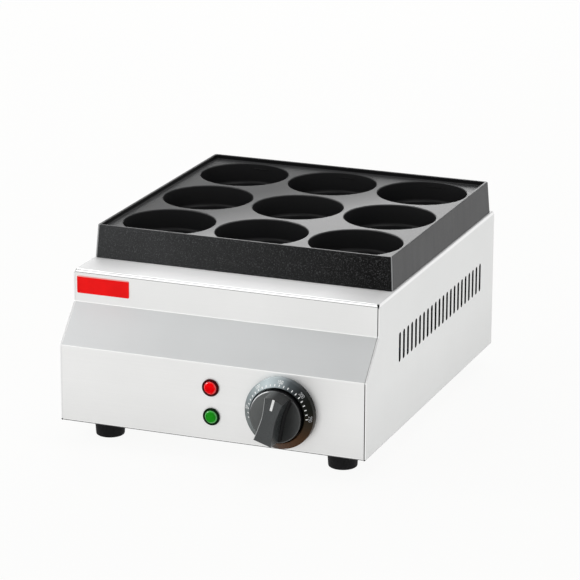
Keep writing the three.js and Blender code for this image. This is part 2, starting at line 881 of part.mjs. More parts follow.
function footBolt({ name, x, y }) {
  const headZ = footBoltHeadTopZ - footBoltHeadHeight;
  const length = footNutZ + footNutHeight + footEdge - footBoltHeadTopZ;
  const head = rod(footBoltHeadRadius, footBoltHeadHeight, [x, y, headZ], [0, 0, 1]);
  const shank = rod(footBoltRadius, length, [x, y, footBoltHeadTopZ], [0, 0, 1]);
  return piece("foot_bolt_" + name, head.add(shank), "zinc");
}

function footNut({ name, x, y }) {
  const bore = footBoltRadius + boltClearance;
  const top = footNutZ + footNutHeight;
  return nut("foot_nut_" + name, footNutAcross, bore, "z", point(x, y), footNutZ, top, "zinc");
}

const thermostatFrontY = panelInnerY + seatGap;
const thermostatBodyY = thermostatFrontY + thermostatPlateThickness;
const thermostatRearY = thermostatBodyY + thermostatDepth;

// The thermostat behind the panel, with its fixing plate, shaft socket and spade tabs
function thermostatBody() {
  const plate = box(
    [knobX - thermostatPlateWidth / 2, thermostatFrontY, controlZ - thermostatPlateHeight / 2],
    [knobX + thermostatPlateWidth / 2, thermostatBodyY, controlZ + thermostatPlateHeight / 2],
  );
  const body = box(
    [knobX - thermostatWidth / 2, thermostatFrontY, controlZ - thermostatHeight / 2],
    [knobX + thermostatWidth / 2, thermostatRearY, controlZ + thermostatHeight / 2],
  );
  const tabs = tabPlaces().map((x) => {
    return box(
      [x - thermostatTabThickness / 2, thermostatRearY, controlZ - thermostatTabWidth / 2],
      [x + thermostatTabThickness / 2, thermostatRearY + thermostatTabLength,
        controlZ + thermostatTabWidth / 2],
    );
  });
  const socketStart = [knobX, thermostatFrontY - overrun, controlZ];
  const socketDepth = shaftSocketDepth + overrun;
  const socket = rod(shaftRadius + boltClearance, socketDepth, socketStart, [0, 1, 0]);
  const screwHoles = screwPlaces().map((x) => {
    const start = [x, thermostatFrontY - overrun, controlZ];
    const depth = thermostatPlateThickness + shaftSocketDepth + overrun;
    return rod(thermostatScrewRadius + boltClearance, depth, start, [0, 1, 0]);
  });
  const whole = cutBy(joined([plate, body, ...tabs]), [socket, ...screwHoles]);
  return piece("thermostat_body", whole, "blackPlastic");
}

function tabPlaces() {
  return Array.from({ length: thermostatTabCount }, (_, i) => {
    return knobX + (i - (thermostatTabCount - 1) / 2) * thermostatTabPitch;
  });
}

// A screw through the panel into the thermostat, its head hidden under the dial
function thermostatScrew(name, x) {
  const headY = frontY - seatGap;
  const length = seatGap + sheet + thermostatPlateThickness + shaftSocketDepth / 2;
  const head = rod(thermostatScrewHeadRadius, thermostatScrewHeadHeight, [x, headY, controlZ], [0, -1, 0]);
  const shank = rod(thermostatScrewRadius, length, [x, headY, controlZ], [0, 1, 0]);
  return piece("thermostat_screw_" + name, head.add(shank), "zinc");
}

// The fixed dial: a coned ring over the screw heads, its floor open in the middle for the shaft
function dialPlate() {
  const back = seatGap;
  const inner = knobRadius + dialKnobGap;
  const underFloor = dialFloorReach - dialWall;
  const profile = [
    [dialRadius - dialWall, back],
    [dialRadius, back],
    [dialRadius, dialRimReach - dialEdge],
    [dialRadius - dialEdge, dialRimReach],
    [inner + dialEdge, dialCrownReach],
    [inner, dialCrownReach - dialEdge],
    [inner, dialFloorReach],
    [dialBoreRadius, dialFloorReach],
    [dialBoreRadius, underFloor],
    [inner + dialWall, underFloor],
    [inner + dialWall, dialCrownReach - 2 * dialWall],
    [dialRadius - dialWall, dialRimReach - dialWall],
    [dialRadius - dialWall, back],
  ];
  const dial = turned(profile, [knobX, frontY, controlZ], [0, -1, 0], cupSides);
  return piece("dial_plate", dial, "dialMetal");
}

// The points of an arc about the axis, up to but without its end
function arcPoints(radius, from, to) {
  return Array.from({ length: gripSteps }, (_, i) => {
    const angle = from + ((to - from) * i) / gripSteps;
    return point(radius * Math.cos(angle), radius * Math.sin(angle));
  });
}

// The grip's outline across the knob: waisted, its tip round about the axis, its tail flat
function gripRing(reach, inset, spread) {
  const half = gripEndHalfWidth - inset + spread;
  const waist = 2 * (gripWaistHalfWidth - inset + spread) - half;
  const tip = knobRadius - gripTipInset - inset;
  const tipAngle = Math.acos(half / tip);
  const tipY = half * Math.tan(tipAngle);
  const tailY = gripTailInset + inset - knobRadius;
  const middleY = (tipY + tailY) / 2;
  const flank = (hand, from, to) => {
    const ends = [point(hand * half, from), point(hand * waist, middleY), point(hand * half, to)];
    return new THREE.QuadraticBezierCurve(...ends).getPoints(gripSteps).slice(0, gripSteps);
  };
  const outline = [
    ...flank(1, tailY, tipY),
    ...arcPoints(tip, tipAngle, Math.PI - tipAngle),
    ...flank(-1, tipY, tailY),
    point(-half, tailY),
  ];
  return { outline, z: reach };
}

// The knob's own frame: its axis leaves the panel along -Y, its pointer along +Z
function knob() {
  const back = dialFloorReach + knobBackGap;
  const webBack = knobFaceReach - knobWall;
  const skirt = turned([
    [0, back],
    [knobHubRadius, back],
    [knobHubRadius, webBack],
    [knobRadius - knobWall, webBack],
    [knobRadius - knobWall, back],
    [knobRadius, back],
    [knobRadius, knobFaceReach - knobEdge],
    [knobRadius - knobEdge, knobFaceReach],
    [0, knobFaceReach],
  ], [0, 0, 0], [0, -1, 0], cupSides);
  const gripShape = loft([
    gripRing(knobFaceReach - knobWall / 2, 0, gripRoot),
    gripRing(knobFaceReach, 0, gripRoot),
    gripRing(knobFaceReach + gripRoot / 3, 0, gripRoot / 3),
    gripRing(knobFaceReach + gripRoot, 0, gripDraft),
    gripRing(knobReach - gripEdge, gripDraft, 0),
    gripRing(knobReach, gripDraft + gripEdge, 0),
  ]);
  gripShape.rotateX(Math.PI / 2);
  const groove = box(
    [-pointerWidth / 2 - seatGap, -knobReach - overrun, pointerStart - seatGap],
    [pointerWidth / 2 + seatGap, pointerDepth - knobReach, pointerStart + pointerLength + seatGap],
  );
  const socketPlace = [0, overrun - back, 0];
  const socketDepth = knobHubSocket + overrun;
  const socket = rod(shaftRadius + boltClearance, socketDepth, socketPlace, [0, -1, 0]);
  const body = cutBy(skirt.add(solidOf(gripShape)), [groove, socket]);
  return piece("thermostat_knob", body, "knobPlastic");
}

function knobPointer() {
  const bar = box(
    [-pointerWidth / 2, -knobReach, pointerStart],
    [pointerWidth / 2, pointerDepth - seatGap - knobReach, pointerStart + pointerLength],
  );
  return piece("knob_pointer", bar, "pointerWhite");
}

// The thermostat's shaft, flatted, from its socket to the knob's hub
function thermostatShaft() {
  const inner = sheet + seatGap + shaftSocketDepth - seatGap;
  const outer = dialFloorReach + knobBackGap + knobHubSocket - seatGap;
  const flat = shaftRadius * shaftFlatShare;
  const section = ring(shaftRadius, smallSides).map((p) => point(Math.min(p.x, flat), p.y));
  return piece("thermostat_shaft", prism(section, "y", -outer, inner), "zinc");
}

function knobGroup() {
  const group = new THREE.Group();
  group.position.set(knobX, frontY, controlZ);
  group.rotation.y = knobTilt;
  group.add(knob(), knobPointer(), thermostatShaft());
  return group;
}

// A lamp: coloured lens with a flange in front of the panel and a barrel through it
function lampLens(name, z, finish) {
  const profile = [
    [0, seatGap],
    [lampFlangeRadius, seatGap],
    [lampFlangeRadius, lampFlangeThickness],
    [lampFaceRadius, lampReach],
    [0, lampReach],
  ];
  const lens = turned(profile, [lampX, frontY, z], [0, -1, 0]);
  const barrelStart = [lampX, frontY - lampFlangeThickness, z];
  const barrelLength = lampBarrelLength + lampFlangeThickness;
  const barrel = rod(lampBarrelRadius, barrelLength, barrelStart, [0, 1, 0]);
  return piece("lamp_lens_" + name, lens.add(barrel), finish);
}

function lampNut(name, z) {
  const from = panelInnerY + seatGap;
  const bore = lampBarrelRadius + boltClearance;
  const middle = point(lampX, z);
  return nut("lamp_nut_" + name, lampNutAcross, bore, "y", middle, from, from + lampNutHeight,
    "blackPlastic");
}

function sensorBulb() {
  const place = [-bulbLength / 2, bulbY, bulbZ];
  return piece("sensor_bulb", rod(bulbRadius, bulbLength, place, [1, 0, 0]), "copper");
}

// A channel that holds the bulb up against the cups, with an ear on each side
function sensorClip() {
  const inner = bulbRadius + seatGap;
  const outer = inner + clipThickness;
  const top = cupUnderZ - seatGap;
  const half = clipWidth / 2;
  const channel = box([-half, bulbY - outer, bulbZ - outer], [half, bulbY + outer, top]);
  const ears = box(
    [-half, bulbY - outer - clipEar, top - clipThickness],
    [half, bulbY + outer + clipEar, top],
  );
  const hollow = box(
    [-half - overrun, bulbY - inner, bulbZ - inner],
    [half + overrun, bulbY + inner, top + overrun],
  );
  return piece("sensor_clip", channel.add(ears).subtract(hollow), "zinc");
}

// The capillary from the bulb, between two elements and down to the thermostat
function capillaryTube() {
  const start = bulbLength / 2 + seatGap;
  const studX = cupPitchX / 2;
  const laneY = bulbY - studBossRadius - studRadius;
  const downX = (shieldRightX + elementLegX - elementRadius) / 2;
  const crossZ = controlZ + thermostatHeight / 2 + elementElbow;
  const bend = elementElbow / 2;
  const endZ = controlZ + thermostatHeight / 2 + seatGap;
  const endY = thermostatBodyY + thermostatDepth / 2;
  const tubing = tube([
    new THREE.Vector3(start, bulbY, bulbZ),
    new THREE.Vector3((start + studX) / 2 - capillaryRadius, bulbY, bulbZ),
    new THREE.Vector3(studX, laneY, bulbZ),
    new THREE.Vector3(downX, laneY, bulbZ),
    new THREE.Vector3(downX, laneY, crossZ),
    new THREE.Vector3(downX, endY, crossZ),
    new THREE.Vector3(knobX, endY, crossZ),
    new THREE.Vector3(knobX, endY, endZ),
  ], [0, bulbRadius / 2, bend, bend, bend, bend, bend, 0], capillaryRadius, wireSides);
  return piece("capillary_tube", tubing, "copper");
}

// The mains gland: threaded body with a collar outside, nut inside, cap over the mouth
function glandBody() {
  const inner = glandInnerLength + sheet + seatGap;
  const collarY = rearY + seatGap;
  const thread = rod(glandThreadRadius, inner, [glandX, collarY, glandZ], [0, -1, 0]);
  const middle = point(glandX, glandZ);
  const collar = prism(hexagon(glandCollarAcross, middle), "y", collarY, collarY + glandCollarThickness);
  const boreStart = [glandX, collarY - inner - overrun, glandZ];
  const boreLength = inner + glandCollarThickness + 2 * overrun;
  const bore = rod(glandBoreRadius, boreLength, boreStart, [0, 1, 0]);
  return piece("gland_body", thread.add(collar).subtract(bore), "blackPlastic");
}

function glandCap() {
  const start = 2 * seatGap + glandCollarThickness;
  const profile = [
    [glandBoreRadius, start],
    [glandCapRadius, start],
    [glandCapRadius, (start + glandReach) / 2],
    [glandMouthRadius, glandReach],
    [glandBoreRadius, glandReach],
    [glandBoreRadius, start],
  ];
  return piece("gland_cap", turned(profile, [glandX, rearY, glandZ], [0, 1, 0]), "blackPlastic");
}

function glandNut() {
  const to = backInnerY - seatGap;
  const bore = glandThreadRadius + boltClearance;
  const middle = point(glandX, glandZ);
  return nut("gland_nut", glandCollarAcross, bore, "y", middle, to - glandNutThickness, to,
    "blackPlastic");
}

// The bonding stud on the back, headed inside and nutted outside
function bondStud() {
  const headY = backInnerY - seatGap;
  const head = prism(hexagon(bondNutAcross, point(bondX, glandZ)), "y", headY - bondNutThickness, headY);
  const length = bondNutThickness + sheet + seatGap + bondStudOuter;
  const shank = rod(bondStudRadius, length, [bondX, headY - bondNutThickness, glandZ], [0, 1, 0]);
  return piece("bonding_stud", head.add(shank), "brass");
}

function bondNut() {
  const from = rearY + seatGap;
  const bore = bondStudRadius + boltClearance;
  const middle = point(bondX, glandZ);
  return nut("bonding_nut", bondNutAcross, bore, "y", middle, from, from + bondNutThickness, "brass");
}

const blockY = rearY - blockFromRear;
const blockFloorZ = baseTopZ + seatGap;
const blockWayPitch = blockWidth / blockWays;

// A terminal block with ribs between its ways
function terminalBlock() {
  const base = box(
    [glandX - blockWidth / 2, blockY - blockDepth / 2, blockFloorZ],
    [glandX + blockWidth / 2, blockY + blockDepth / 2, blockFloorZ + blockHeight],
  );
  const ribs = Array.from({ length: blockWays + 1 }, (_, i) => {
    const shareAcross = i / blockWays;
    const x = glandX - blockWidth / 2 + shareAcross * (blockWidth - blockRibWidth);
    const top = blockFloorZ + blockHeight + blockRibHeight;
    return box([x, blockY - blockDepth / 2, blockFloorZ], [x + blockRibWidth, blockY + blockDepth / 2, top]);
  });
  return piece("terminal_block", joined([base, ...ribs]), "blockPlastic");
}

function wayX(index) {
  return glandX + (index - (blockWays - 1) / 2) * blockWayPitch;
}

function wire(name, corners, finish) {
  const places = corners.map((corner) => new THREE.Vector3(...corner));
  return piece(name, tube(places, wireBend, wireRadius, wireSides), finish);
}

// Wires from the terminal block to the thermostat and the elements, and between elements
function wires() {
  const blockFaceY = blockY - blockDepth / 2 - seatGap;
  const blockWireZ = blockFloorZ + blockHeight / 2;
  const [leftTab, , rightTab] = tabPlaces();
  const tabY = thermostatRearY + thermostatTabLength + seatGap;
  const pinZ = elementTipZ - seatGap;
  const halfRun = elementRunSpacing / 2;
  const [front, middle, rear] = elementRows();
  const loopZ = pinZ - wireLoop;
  const live = wire("wire_live", [
    [wayX(0), blockFaceY, blockWireZ],
    [wayX(0), tabY + wireLoop, blockWireZ],
    [leftTab, tabY + wireLoop, blockWireZ],
    [leftTab, tabY + wireLoop, controlZ],
    [leftTab, tabY, controlZ],
  ], "wireRed");
  const load = wire("wire_load", [
    [rightTab, tabY, controlZ],
    [rightTab, front.y - halfRun, controlZ],
    [elementLegX, front.y - halfRun, controlZ],
    [elementLegX, front.y - halfRun, pinZ],
  ], "wireRed");
  const neutral = wire("wire_neutral", [
    [wayX(1), blockFaceY, blockWireZ],
    [wayX(1), blockFaceY - wireLoop, blockWireZ],
    [elementLegX, blockFaceY - wireLoop, blockWireZ],
    [elementLegX, rear.y + halfRun, blockWireZ],
    [elementLegX, rear.y + halfRun, pinZ],
  ], "wireBlue");
  const link = (name, from, to) => wire(name, [
    [elementLegX, from, pinZ],
    [elementLegX, from, loopZ],
    [elementLegX, to, loopZ],
    [elementLegX, to, pinZ],
  ], "wireRed");
  return [
    live,
    load,
    neutral,
    link("wire_link_front", front.y + halfRun, middle.y - halfRun),
    link("wire_link_rear", middle.y + halfRun, rear.y - halfRun),
  ];
}

const [redZ, greenZ] = lampHeights();
const [leftScrewX, rightScrewX] = screwPlaces();
const maker = new THREE.Group();
maker.add(housingShell(), backPanel(), basePlate(), griddlePlate());
maker.add(...elementRows().map(heatingElement));
maker.add(clampBar("left", -cupPitchX / 2), clampBar("right", cupPitchX / 2));
maker.add(...studPlaces().map(clampStud), ...studPlaces().map(clampNut));
maker.add(heatShield(), insulationPad(), supportRail("left", -1), supportRail("right", 1));
maker.add(...footPlaces().flatMap((place) => [foot(place), footBolt(place), footNut(place)]));
maker.add(thermostatBody(), dialPlate(), knobGroup());
maker.add(thermostatScrew("left", leftScrewX), thermostatScrew("right", rightScrewX));
maker.add(lampLens("red", redZ, "redLens"), lampNut("red", redZ));
maker.add(lampLens("green", greenZ, "greenLens"), lampNut("green", greenZ));
maker.add(sensorBulb(), sensorClip(), capillaryTube());
maker.add(glandBody(), glandCap(), glandNut(), bondStud(), bondNut(), terminalBlock());
maker.add(...wires());

// The origin lies under the middle of the whole, knob and gland included
maker.position.y = (knobReach - glandReach) / 2;

const group = new THREE.Group();
group.add(maker);

export default group;
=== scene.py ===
"""Looks of a countertop egg burger griddle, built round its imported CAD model.

Lengths are millimetres in the part's own frame until a mesh is made, then metres.
"""

import math
import random

import bmesh
import bpy
from mathutils import Matrix, Vector
from mathutils.geometry import tessellate_polygon


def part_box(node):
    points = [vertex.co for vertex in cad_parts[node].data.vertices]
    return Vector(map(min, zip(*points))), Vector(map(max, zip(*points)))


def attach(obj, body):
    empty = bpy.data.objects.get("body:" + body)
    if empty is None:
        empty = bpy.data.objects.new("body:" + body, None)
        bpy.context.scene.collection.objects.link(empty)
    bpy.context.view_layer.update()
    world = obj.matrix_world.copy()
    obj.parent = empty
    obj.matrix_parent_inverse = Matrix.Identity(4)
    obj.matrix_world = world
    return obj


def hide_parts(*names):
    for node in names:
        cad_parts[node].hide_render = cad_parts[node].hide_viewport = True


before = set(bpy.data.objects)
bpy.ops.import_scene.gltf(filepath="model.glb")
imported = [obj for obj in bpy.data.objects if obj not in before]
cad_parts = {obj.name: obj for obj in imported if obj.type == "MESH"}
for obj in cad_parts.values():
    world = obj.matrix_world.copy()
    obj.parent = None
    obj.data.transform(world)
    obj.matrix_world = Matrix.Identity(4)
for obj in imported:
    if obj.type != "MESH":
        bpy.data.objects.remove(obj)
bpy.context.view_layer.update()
random.seed(7)

MM = 0.001

# Camera, fitted to the photograph
CAMERA_PLACE = (1212.8, -3076.05, 1151.9)
CAMERA_AZIMUTH, CAMERA_ELEVATION, CAMERA_ROLL = 21.335, 17.073, 0.2
CAMERA_LENS = 188.07


def box_mm(node):
    low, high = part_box(node)
    return [c / MM for c in low], [c / MM for c in high]


# Housing: places read from the CAD frame, then the folded sheet's own sizes
SHELL_LOW, SHELL_HIGH = box_mm("housing_shell")
HALF_WIDTH = SHELL_HIGH[0]
FRONT_Y, REAR_Y = SHELL_LOW[1], SHELL_HIGH[1]
BOTTOM_Z, DECK_Z = SHELL_LOW[2], SHELL_HIGH[2]
PANEL_REAR_Y = box_mm("back_panel")[1][1]
SLOPE_FOOT_Z = BOTTOM_Z + 87.5
SLOPE_HEAD_Z = SLOPE_FOOT_Z + 40.5
BAND_Y = FRONT_Y + 38.5
SHEET, FOLD, BEND, FLANGE = 1.2, 3.0, 2.0, 15.0
SEAM, SEAM_FLANGE = 1.0, 10.0
PANEL_HALF = HALF_WIDTH - SHEET - SEAM
CREASE_Z = DECK_Z - FOLD - 0.4
RELIEF, RELIEF_RADIUS = (HALF_WIDTH - 1.8, BAND_Y + 1.9), 1.9
SIDE_PROFILE = [(FRONT_Y, BOTTOM_Z), (FRONT_Y, SLOPE_FOOT_Z),
                (BAND_Y, SLOPE_HEAD_Z), (BAND_Y, DECK_Z)]

VENT_COUNT, VENT_PITCH = 22, 13.45
VENT_FIRST_Y, VENT_Z = FRONT_Y + 106.5, 120.75
VENT_HALF_WIDTH, VENT_HALF_STRAIGHT, VENT_CELL_HALF_HEIGHT = 3.15, 13.75, 21.0

# Controls and badge
KNOB_X, CONTROL_Z = 83.5, 68.2
KNOB_TILT = 15.0
KNOB_BACK, KNOB_FACE, KNOB_REACH = 8.8, 21.0, 42.5
KNOB_RADIUS, DISH = 29.5, 1.6
DIAL_RADIUS, DIAL_INNER, DIAL_BORE = 39.8, 31.3, 9.0
DIAL_RIM, DIAL_CROWN, DIAL_FLOOR = 8.5, 15.0, 8.0
LAMPS = {"red": (0.5, CONTROL_Z + 16.5), "green": (1.4, CONTROL_Z - 16.5)}
BADGE_X, BADGE_Z, BADGE_HALF_X, BADGE_HALF_Z = -144.4, 171.55, 31.4, 9.95

# Cast plate
PLATE_LOW, PLATE_HIGH = box_mm("griddle_plate")
PLATE_Y = (PLATE_LOW[1] + PLATE_HIGH[1]) / 2
PLATE_BOTTOM_Z, PLATE_TOP_Z = PLATE_LOW[2], PLATE_HIGH[2]
PLATE_HALF_X, PLATE_HALF_Y = 177.0, 173.0
PLATE_DRAFT, PLATE_CORNER = 2.5, 3.5
COOKING_Z = PLATE_TOP_Z - 5.5
WEB_Z = COOKING_Z - 6.0
RIM, SKIRT = 3.5, 6.0
CUP_PITCH, CUP_RADIUS, CUP_DEPTH, CUP_DRAFT, CUP_WALL = 112.0, 52.5, 24.5, 2.5, 4.0
BOSS_RADIUS, BOSS_BORE, BOSS_DEPTH = 8.5, 4.3, 14.0
WINDOW_HALF = (161.0, 157.0)


# Outlines in the plane

def arc(centre, radius, start, end, steps):
    """Points of an arc, its angles in degrees, both ends included."""
    points = []
    for i in range(steps + 1):
        a = math.radians(start + (end - start) * i / steps)
        points.append((centre[0] + radius * math.cos(a), centre[1] + radius * math.sin(a)))
    return points


def circle(radius, steps, centre=(0.0, 0.0)):
    return arc(centre, radius, 0, 360, steps)[:-1]


def circles(profile, steps, centre=(0.0, 0.0)):
    """Level circles about an upright axis, one for each (radius, height) of a profile."""
    return [[(x, y, height) for x, y in circle(radius, steps, centre)]
            for radius, height in profile]


def rounded(corners, radii, steps):
    """An outline whose corners are arcs; a corner with radius 0 stays sharp."""
    out = []
    for i, (corner, radius) in enumerate(zip(corners, radii)):
        here = Vector(corner)
        if radius == 0:
            out.append(tuple(here))
            continue
        back = (Vector(corners[i - 1]) - here).normalized()
        onward = (Vector(corners[(i + 1) % len(corners)]) - here).normalized()
        half = back.angle(onward) / 2
        start = here + back * (radius / math.tan(half))
        centre = here + (back + onward).normalized() * (radius / math.sin(half))
        arm = start - centre
        sweep = math.pi - 2 * half
        for k in range(steps + 1):
            a = sweep * k / steps
            out.append(tuple(centre + arm * math.cos(a) - back * (radius * math.sin(a))))
    return out


def rounded_rectangle(half_x, half_y, radius, steps, centre=(0.0, 0.0)):
    signs = ((-1, -1), (1, -1), (1, 1), (-1, 1))
    corners = [(centre[0] + a * half_x, centre[1] + b * half_y) for a, b in signs]
    return rounded(corners, [radius] * 4, steps)


def right_of(a, b):
    """The unit vector to the right of the way from a to b."""
    along = (Vector(b) - Vector(a)).normalized()
    return Vector((along.y, -along.x))


def mitres(points):
    """At each point of a path, the unit vector to its right and that one's share of an edge's."""
    closed = (points[0] - points[-1]).length < 1e-6
    last = len(points) - 1
    out = []
    for i, p in enumerate(points):
        normals = []
        if i or closed:
            normals.append(right_of(points[i - 1 if i else -2], p))
        if i < last or closed:
            normals.append(right_of(p, points[i + 1 if i < last else 1]))
        mean = sum(normals, Vector((0, 0))).normalized()
        out.append((mean, mean.dot(normals[0])))
    return out


# Meshes collected face by face

class Skin:
    """Faces given by their corner points in mm; equal points are joined in the mesh."""

    def __init__(self):
        self.faces = []

    def face(self, points, slot=0):
        self.faces.append(([Vector(p) for p in points], slot))

    def loft(self, loops, slot=0, closed=True, first=False, last=False):
        """Quads between loops of equal length, and a face on the first or the last loop.

        The slot is a number or a function of the row and the column.
        """
        for row, (low, high) in enumerate(zip(loops, loops[1:])):
            count = len(low)
            for i in range(count if closed else count - 1):
                k = (i + 1) % count
                self.face((low[i], low[k], high[k], high[i]),
                          slot(row, i) if callable(slot) else slot)
        for end in [loops[0]] * first + [loops[-1]] * last:
            self.face(end, 0 if callable(slot) else slot)
        return self

    def flat(self, outline, holes, height, slot=0):
        """A level face at a height with holes through it."""
        loops = [[Vector((*p[:2], height)) for p in loop] for loop in (outline, *holes)]
        points = [p for loop in loops for p in loop]
        for triangle in tessellate_polygon(loops):
            self.face([points[i] for i in triangle], slot)

    def moved(self, *matrices):
        for matrix in matrices:
            self.faces = [([matrix @ p for p in points], slot) for points, slot in self.faces]
        return self

    def stitch(self):
        """Adds to each face the corners of its neighbours that lie on its edges."""
        apart, off_line = 1e-4, 1e-3
        unique = {tuple(round(c, 3) for c in p): p for points, _ in self.faces for p in points}
        stitched = []
        for corners, slot in self.faces:
            ring = []
            for a, b in zip(corners, corners[1:] + corners[:1]):
                ring.append(a)
                along = b - a
                length = along.length
                if length < apart:
                    continue
                between = []
                for p in unique.values():
                    share = (p - a).dot(along) / length ** 2
                    if apart < share * length < length - apart:
                        if (p - a - along * share).length < off_line:
                            between.append((share, p))
                ring += [p for _, p in sorted(between, key=lambda item: item[0])]
            stitched.append((ring, slot))
        self.faces = stitched
        return self

    def mesh(self, name):
        bm = bmesh.new()
        for points, slot in self.faces:
            corners = [bm.verts.new(p * MM) for p in points]
            bm.faces.new(corners).material_index = slot
        bmesh.ops.remove_doubles(bm, verts=bm.verts, dist=2e-6)
        bmesh.ops.dissolve_degenerate(bm, edges=bm.edges, dist=1e-7)
        bmesh.ops.recalc_face_normals(bm, faces=bm.faces)
        mesh = bpy.data.meshes.new(name)
        bm.to_mesh(mesh)
        bm.free()
        return mesh


def add_object(name, data):
    added = bpy.data.objects.new(name, data)
    bpy.context.scene.collection.objects.link(added)
    return added


def finish_piece(name, skin, looks, replaced=(), body="housing", sharp=35.0, sheet=0.0):
    """A skin as an object on a body, with its materials and shading; an open one gets a sheet."""
    mesh = skin.mesh(name)
    if sheet and max(mesh.polygons, key=lambda face: face.center.z).normal.z < 0:
        mesh.flip_normals()
    for look in looks:
        mesh.materials.append(LOOKS[look])
    mesh.shade_smooth()
    mesh.set_sharp_from_angle(angle=math.radians(sharp))
    piece = add_object(name, mesh)
    if sheet:
        solid = piece.modifiers.new("sheet", "SOLIDIFY")
        solid.thickness = sheet * MM
        solid.offset = -1
        solid.use_even_offset = True
        solid.material_offset_rim = CUT_EDGE_OFFSET
        bevel = piece.modifiers.new("edges", "BEVEL")
        bevel.width = 0.15 * MM
        bevel.segments = 2
        bevel.limit_method = "ANGLE"
        bevel.angle_limit = math.radians(40)
    piece.modifiers.new("normals", "WEIGHTED_NORMAL").keep_sharp = True
    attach(piece, body)
    if replaced:
        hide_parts(*replaced)


def facing_front(x, y, z):
    """Turns an upright axis to the front and moves it to a place."""
    return Matrix.Translation((x, y, z)) @ Matrix.Rotation(math.radians(90), 4, "X")


AT_KNOB = facing_front(KNOB_X, FRONT_Y, CONTROL_Z)
TILTED = Matrix.Rotation(math.radians(-KNOB_TILT), 4, "Z")


# Materials

LOOKS = {}


class Graph:
    """The nodes of a material or of the world."""

    def __init__(self, name, world=False):
        self.owner = (bpy.data.worlds if world else bpy.data.materials).new(name)
        LOOKS[name] = self.owner
        self.owner.use_nodes = True
        self.tree = self.owner.node_tree
        self.shader = self.tree.nodes["Background" if world else "Principled BSDF"]
        self.place = self.add("TexCoord").outputs["Generated" if world else "Object"]

    def feed(self, target, value):
        """Joins an input to a socket, or gives it a plain value; a colour gets its alpha."""
        if isinstance(value, bpy.types.NodeSocket):
            self.tree.links.new(value, target)
        else:
            target.default_value = (*value, 1) if target.type == "RGBA" else value

    def add(self, kind, inputs=None, **settings):
        node = self.tree.nodes.new("ShaderNode" + kind)
        for key, value in settings.items():
            setattr(node, key, value)
        for key, value in (inputs or {}).items():
            self.feed(node.inputs[key], value)
        return node

    def set(self, **values):
        for key, value in values.items():
            self.feed(self.shader.inputs[key.replace("_", " ")], value)

    def stretched(self, scale):
        return self.add("Mapping", {"Scale": scale, "Vector": self.place}).outputs[0]

    def noise(self, scale, detail=3.0, roughness=0.5, vector=None):
        inputs = {"Scale": scale, "Detail": detail, "Roughness": roughness,
                  "Vector": vector or self.place}
        return self.add("TexNoise", inputs).outputs["Fac"]

    def ramp(self, source, *stops):
        """A colour or grey ramp over a value; each stop is (place, colour or grey)."""
        node = self.add("ValToRGB", {"Fac": source})
        elements = node.color_ramp.elements
        while len(elements) < len(stops):
            elements.new(0.5)
        for element, (place, value) in zip(elements, stops):
            element.position = place
            element.color = (*(value if isinstance(value, tuple) else [value] * 3), 1)
        return node.outputs["Color"]

    def span(self, source, low, high, out_low=0.0, out_high=1.0):
        """A value's range taken to another range, held at its ends."""
        inputs = {"Value": source, "From Min": low, "From Max": high,
                  "To Min": out_low, "To Max": out_high}
        return self.add("MapRange", inputs).outputs["Result"]

    def away(self, centre):
        """The place on the object from a centre in mm."""
        inputs = {0: self.place, 1: Vector(centre) * MM}
        return self.add("VectorMath", inputs, operation="SUBTRACT").outputs[0]

    def along(self, direction, low, high, centre=(0, 0, 0)):
        """0 to 1 by the place on the object along a direction, between two lengths in mm."""
        inputs = {0: self.away(centre), 1: direction}
        lean = self.add("VectorMath", inputs, operation="DOT_PRODUCT").outputs["Value"]
        return self.span(lean, low * MM, high * MM)

    def turn(self):
        """0 to 1 by the angle about the knob's axis, from straight down, clockwise."""
        parts = self.add("SeparateXYZ", {0: self.away((KNOB_X, 0, CONTROL_Z))}).outputs
        angle = self.add("Math", {0: parts["X"], 1: parts["Z"]}, operation="ARCTAN2")
        return self.span(angle.outputs[0], -math.pi, math.pi)

    def mixed(self, one, other, factor=0.5, blend="MIX"):
        """Two colours mixed; each, and the factor, is a socket or a plain value."""
        inputs = {0: factor, 6: one, 7: other}
        return self.add("Mix", inputs, data_type="RGBA", blend_type=blend).outputs[2]

    def scaled(self, tone, source, *stops):
        """A tone multiplied by a ramp over a value."""
        return self.mixed(tone, self.ramp(source, *stops), 1.0, "MULTIPLY")

    def clouded(self, colour, dark, cloud, low=0.35, high=0.65):
        """A colour that turns in clouds to another one, or to a darker share of itself."""
        other = dark if isinstance(dark, tuple) else tuple(c * dark for c in colour)
        return self.mixed(other, colour, self.span(cloud, low, high))

    def bump(self, source, distance, strength):
        """Surface relief in millimetres of depth, on top of any made before."""
        normal = self.shader.inputs["Normal"]
        inputs = {"Distance": distance * MM, "Strength": strength, "Height": source}
        if normal.is_linked:
            inputs["Normal"] = normal.links[0].from_socket
        self.feed(normal, self.add("Bump", inputs).outputs[0])


RIGHTWARD, REARWARD, UPWARD = (1, 0, 0), (0, 1, 0), (0, 0, 1)
# Scales of the noise where the sheet is brushed across or upright
ACROSS, UPRIGHT = (6.0, 1600.0, 1600.0), (1600.0, 1600.0, 6.0)


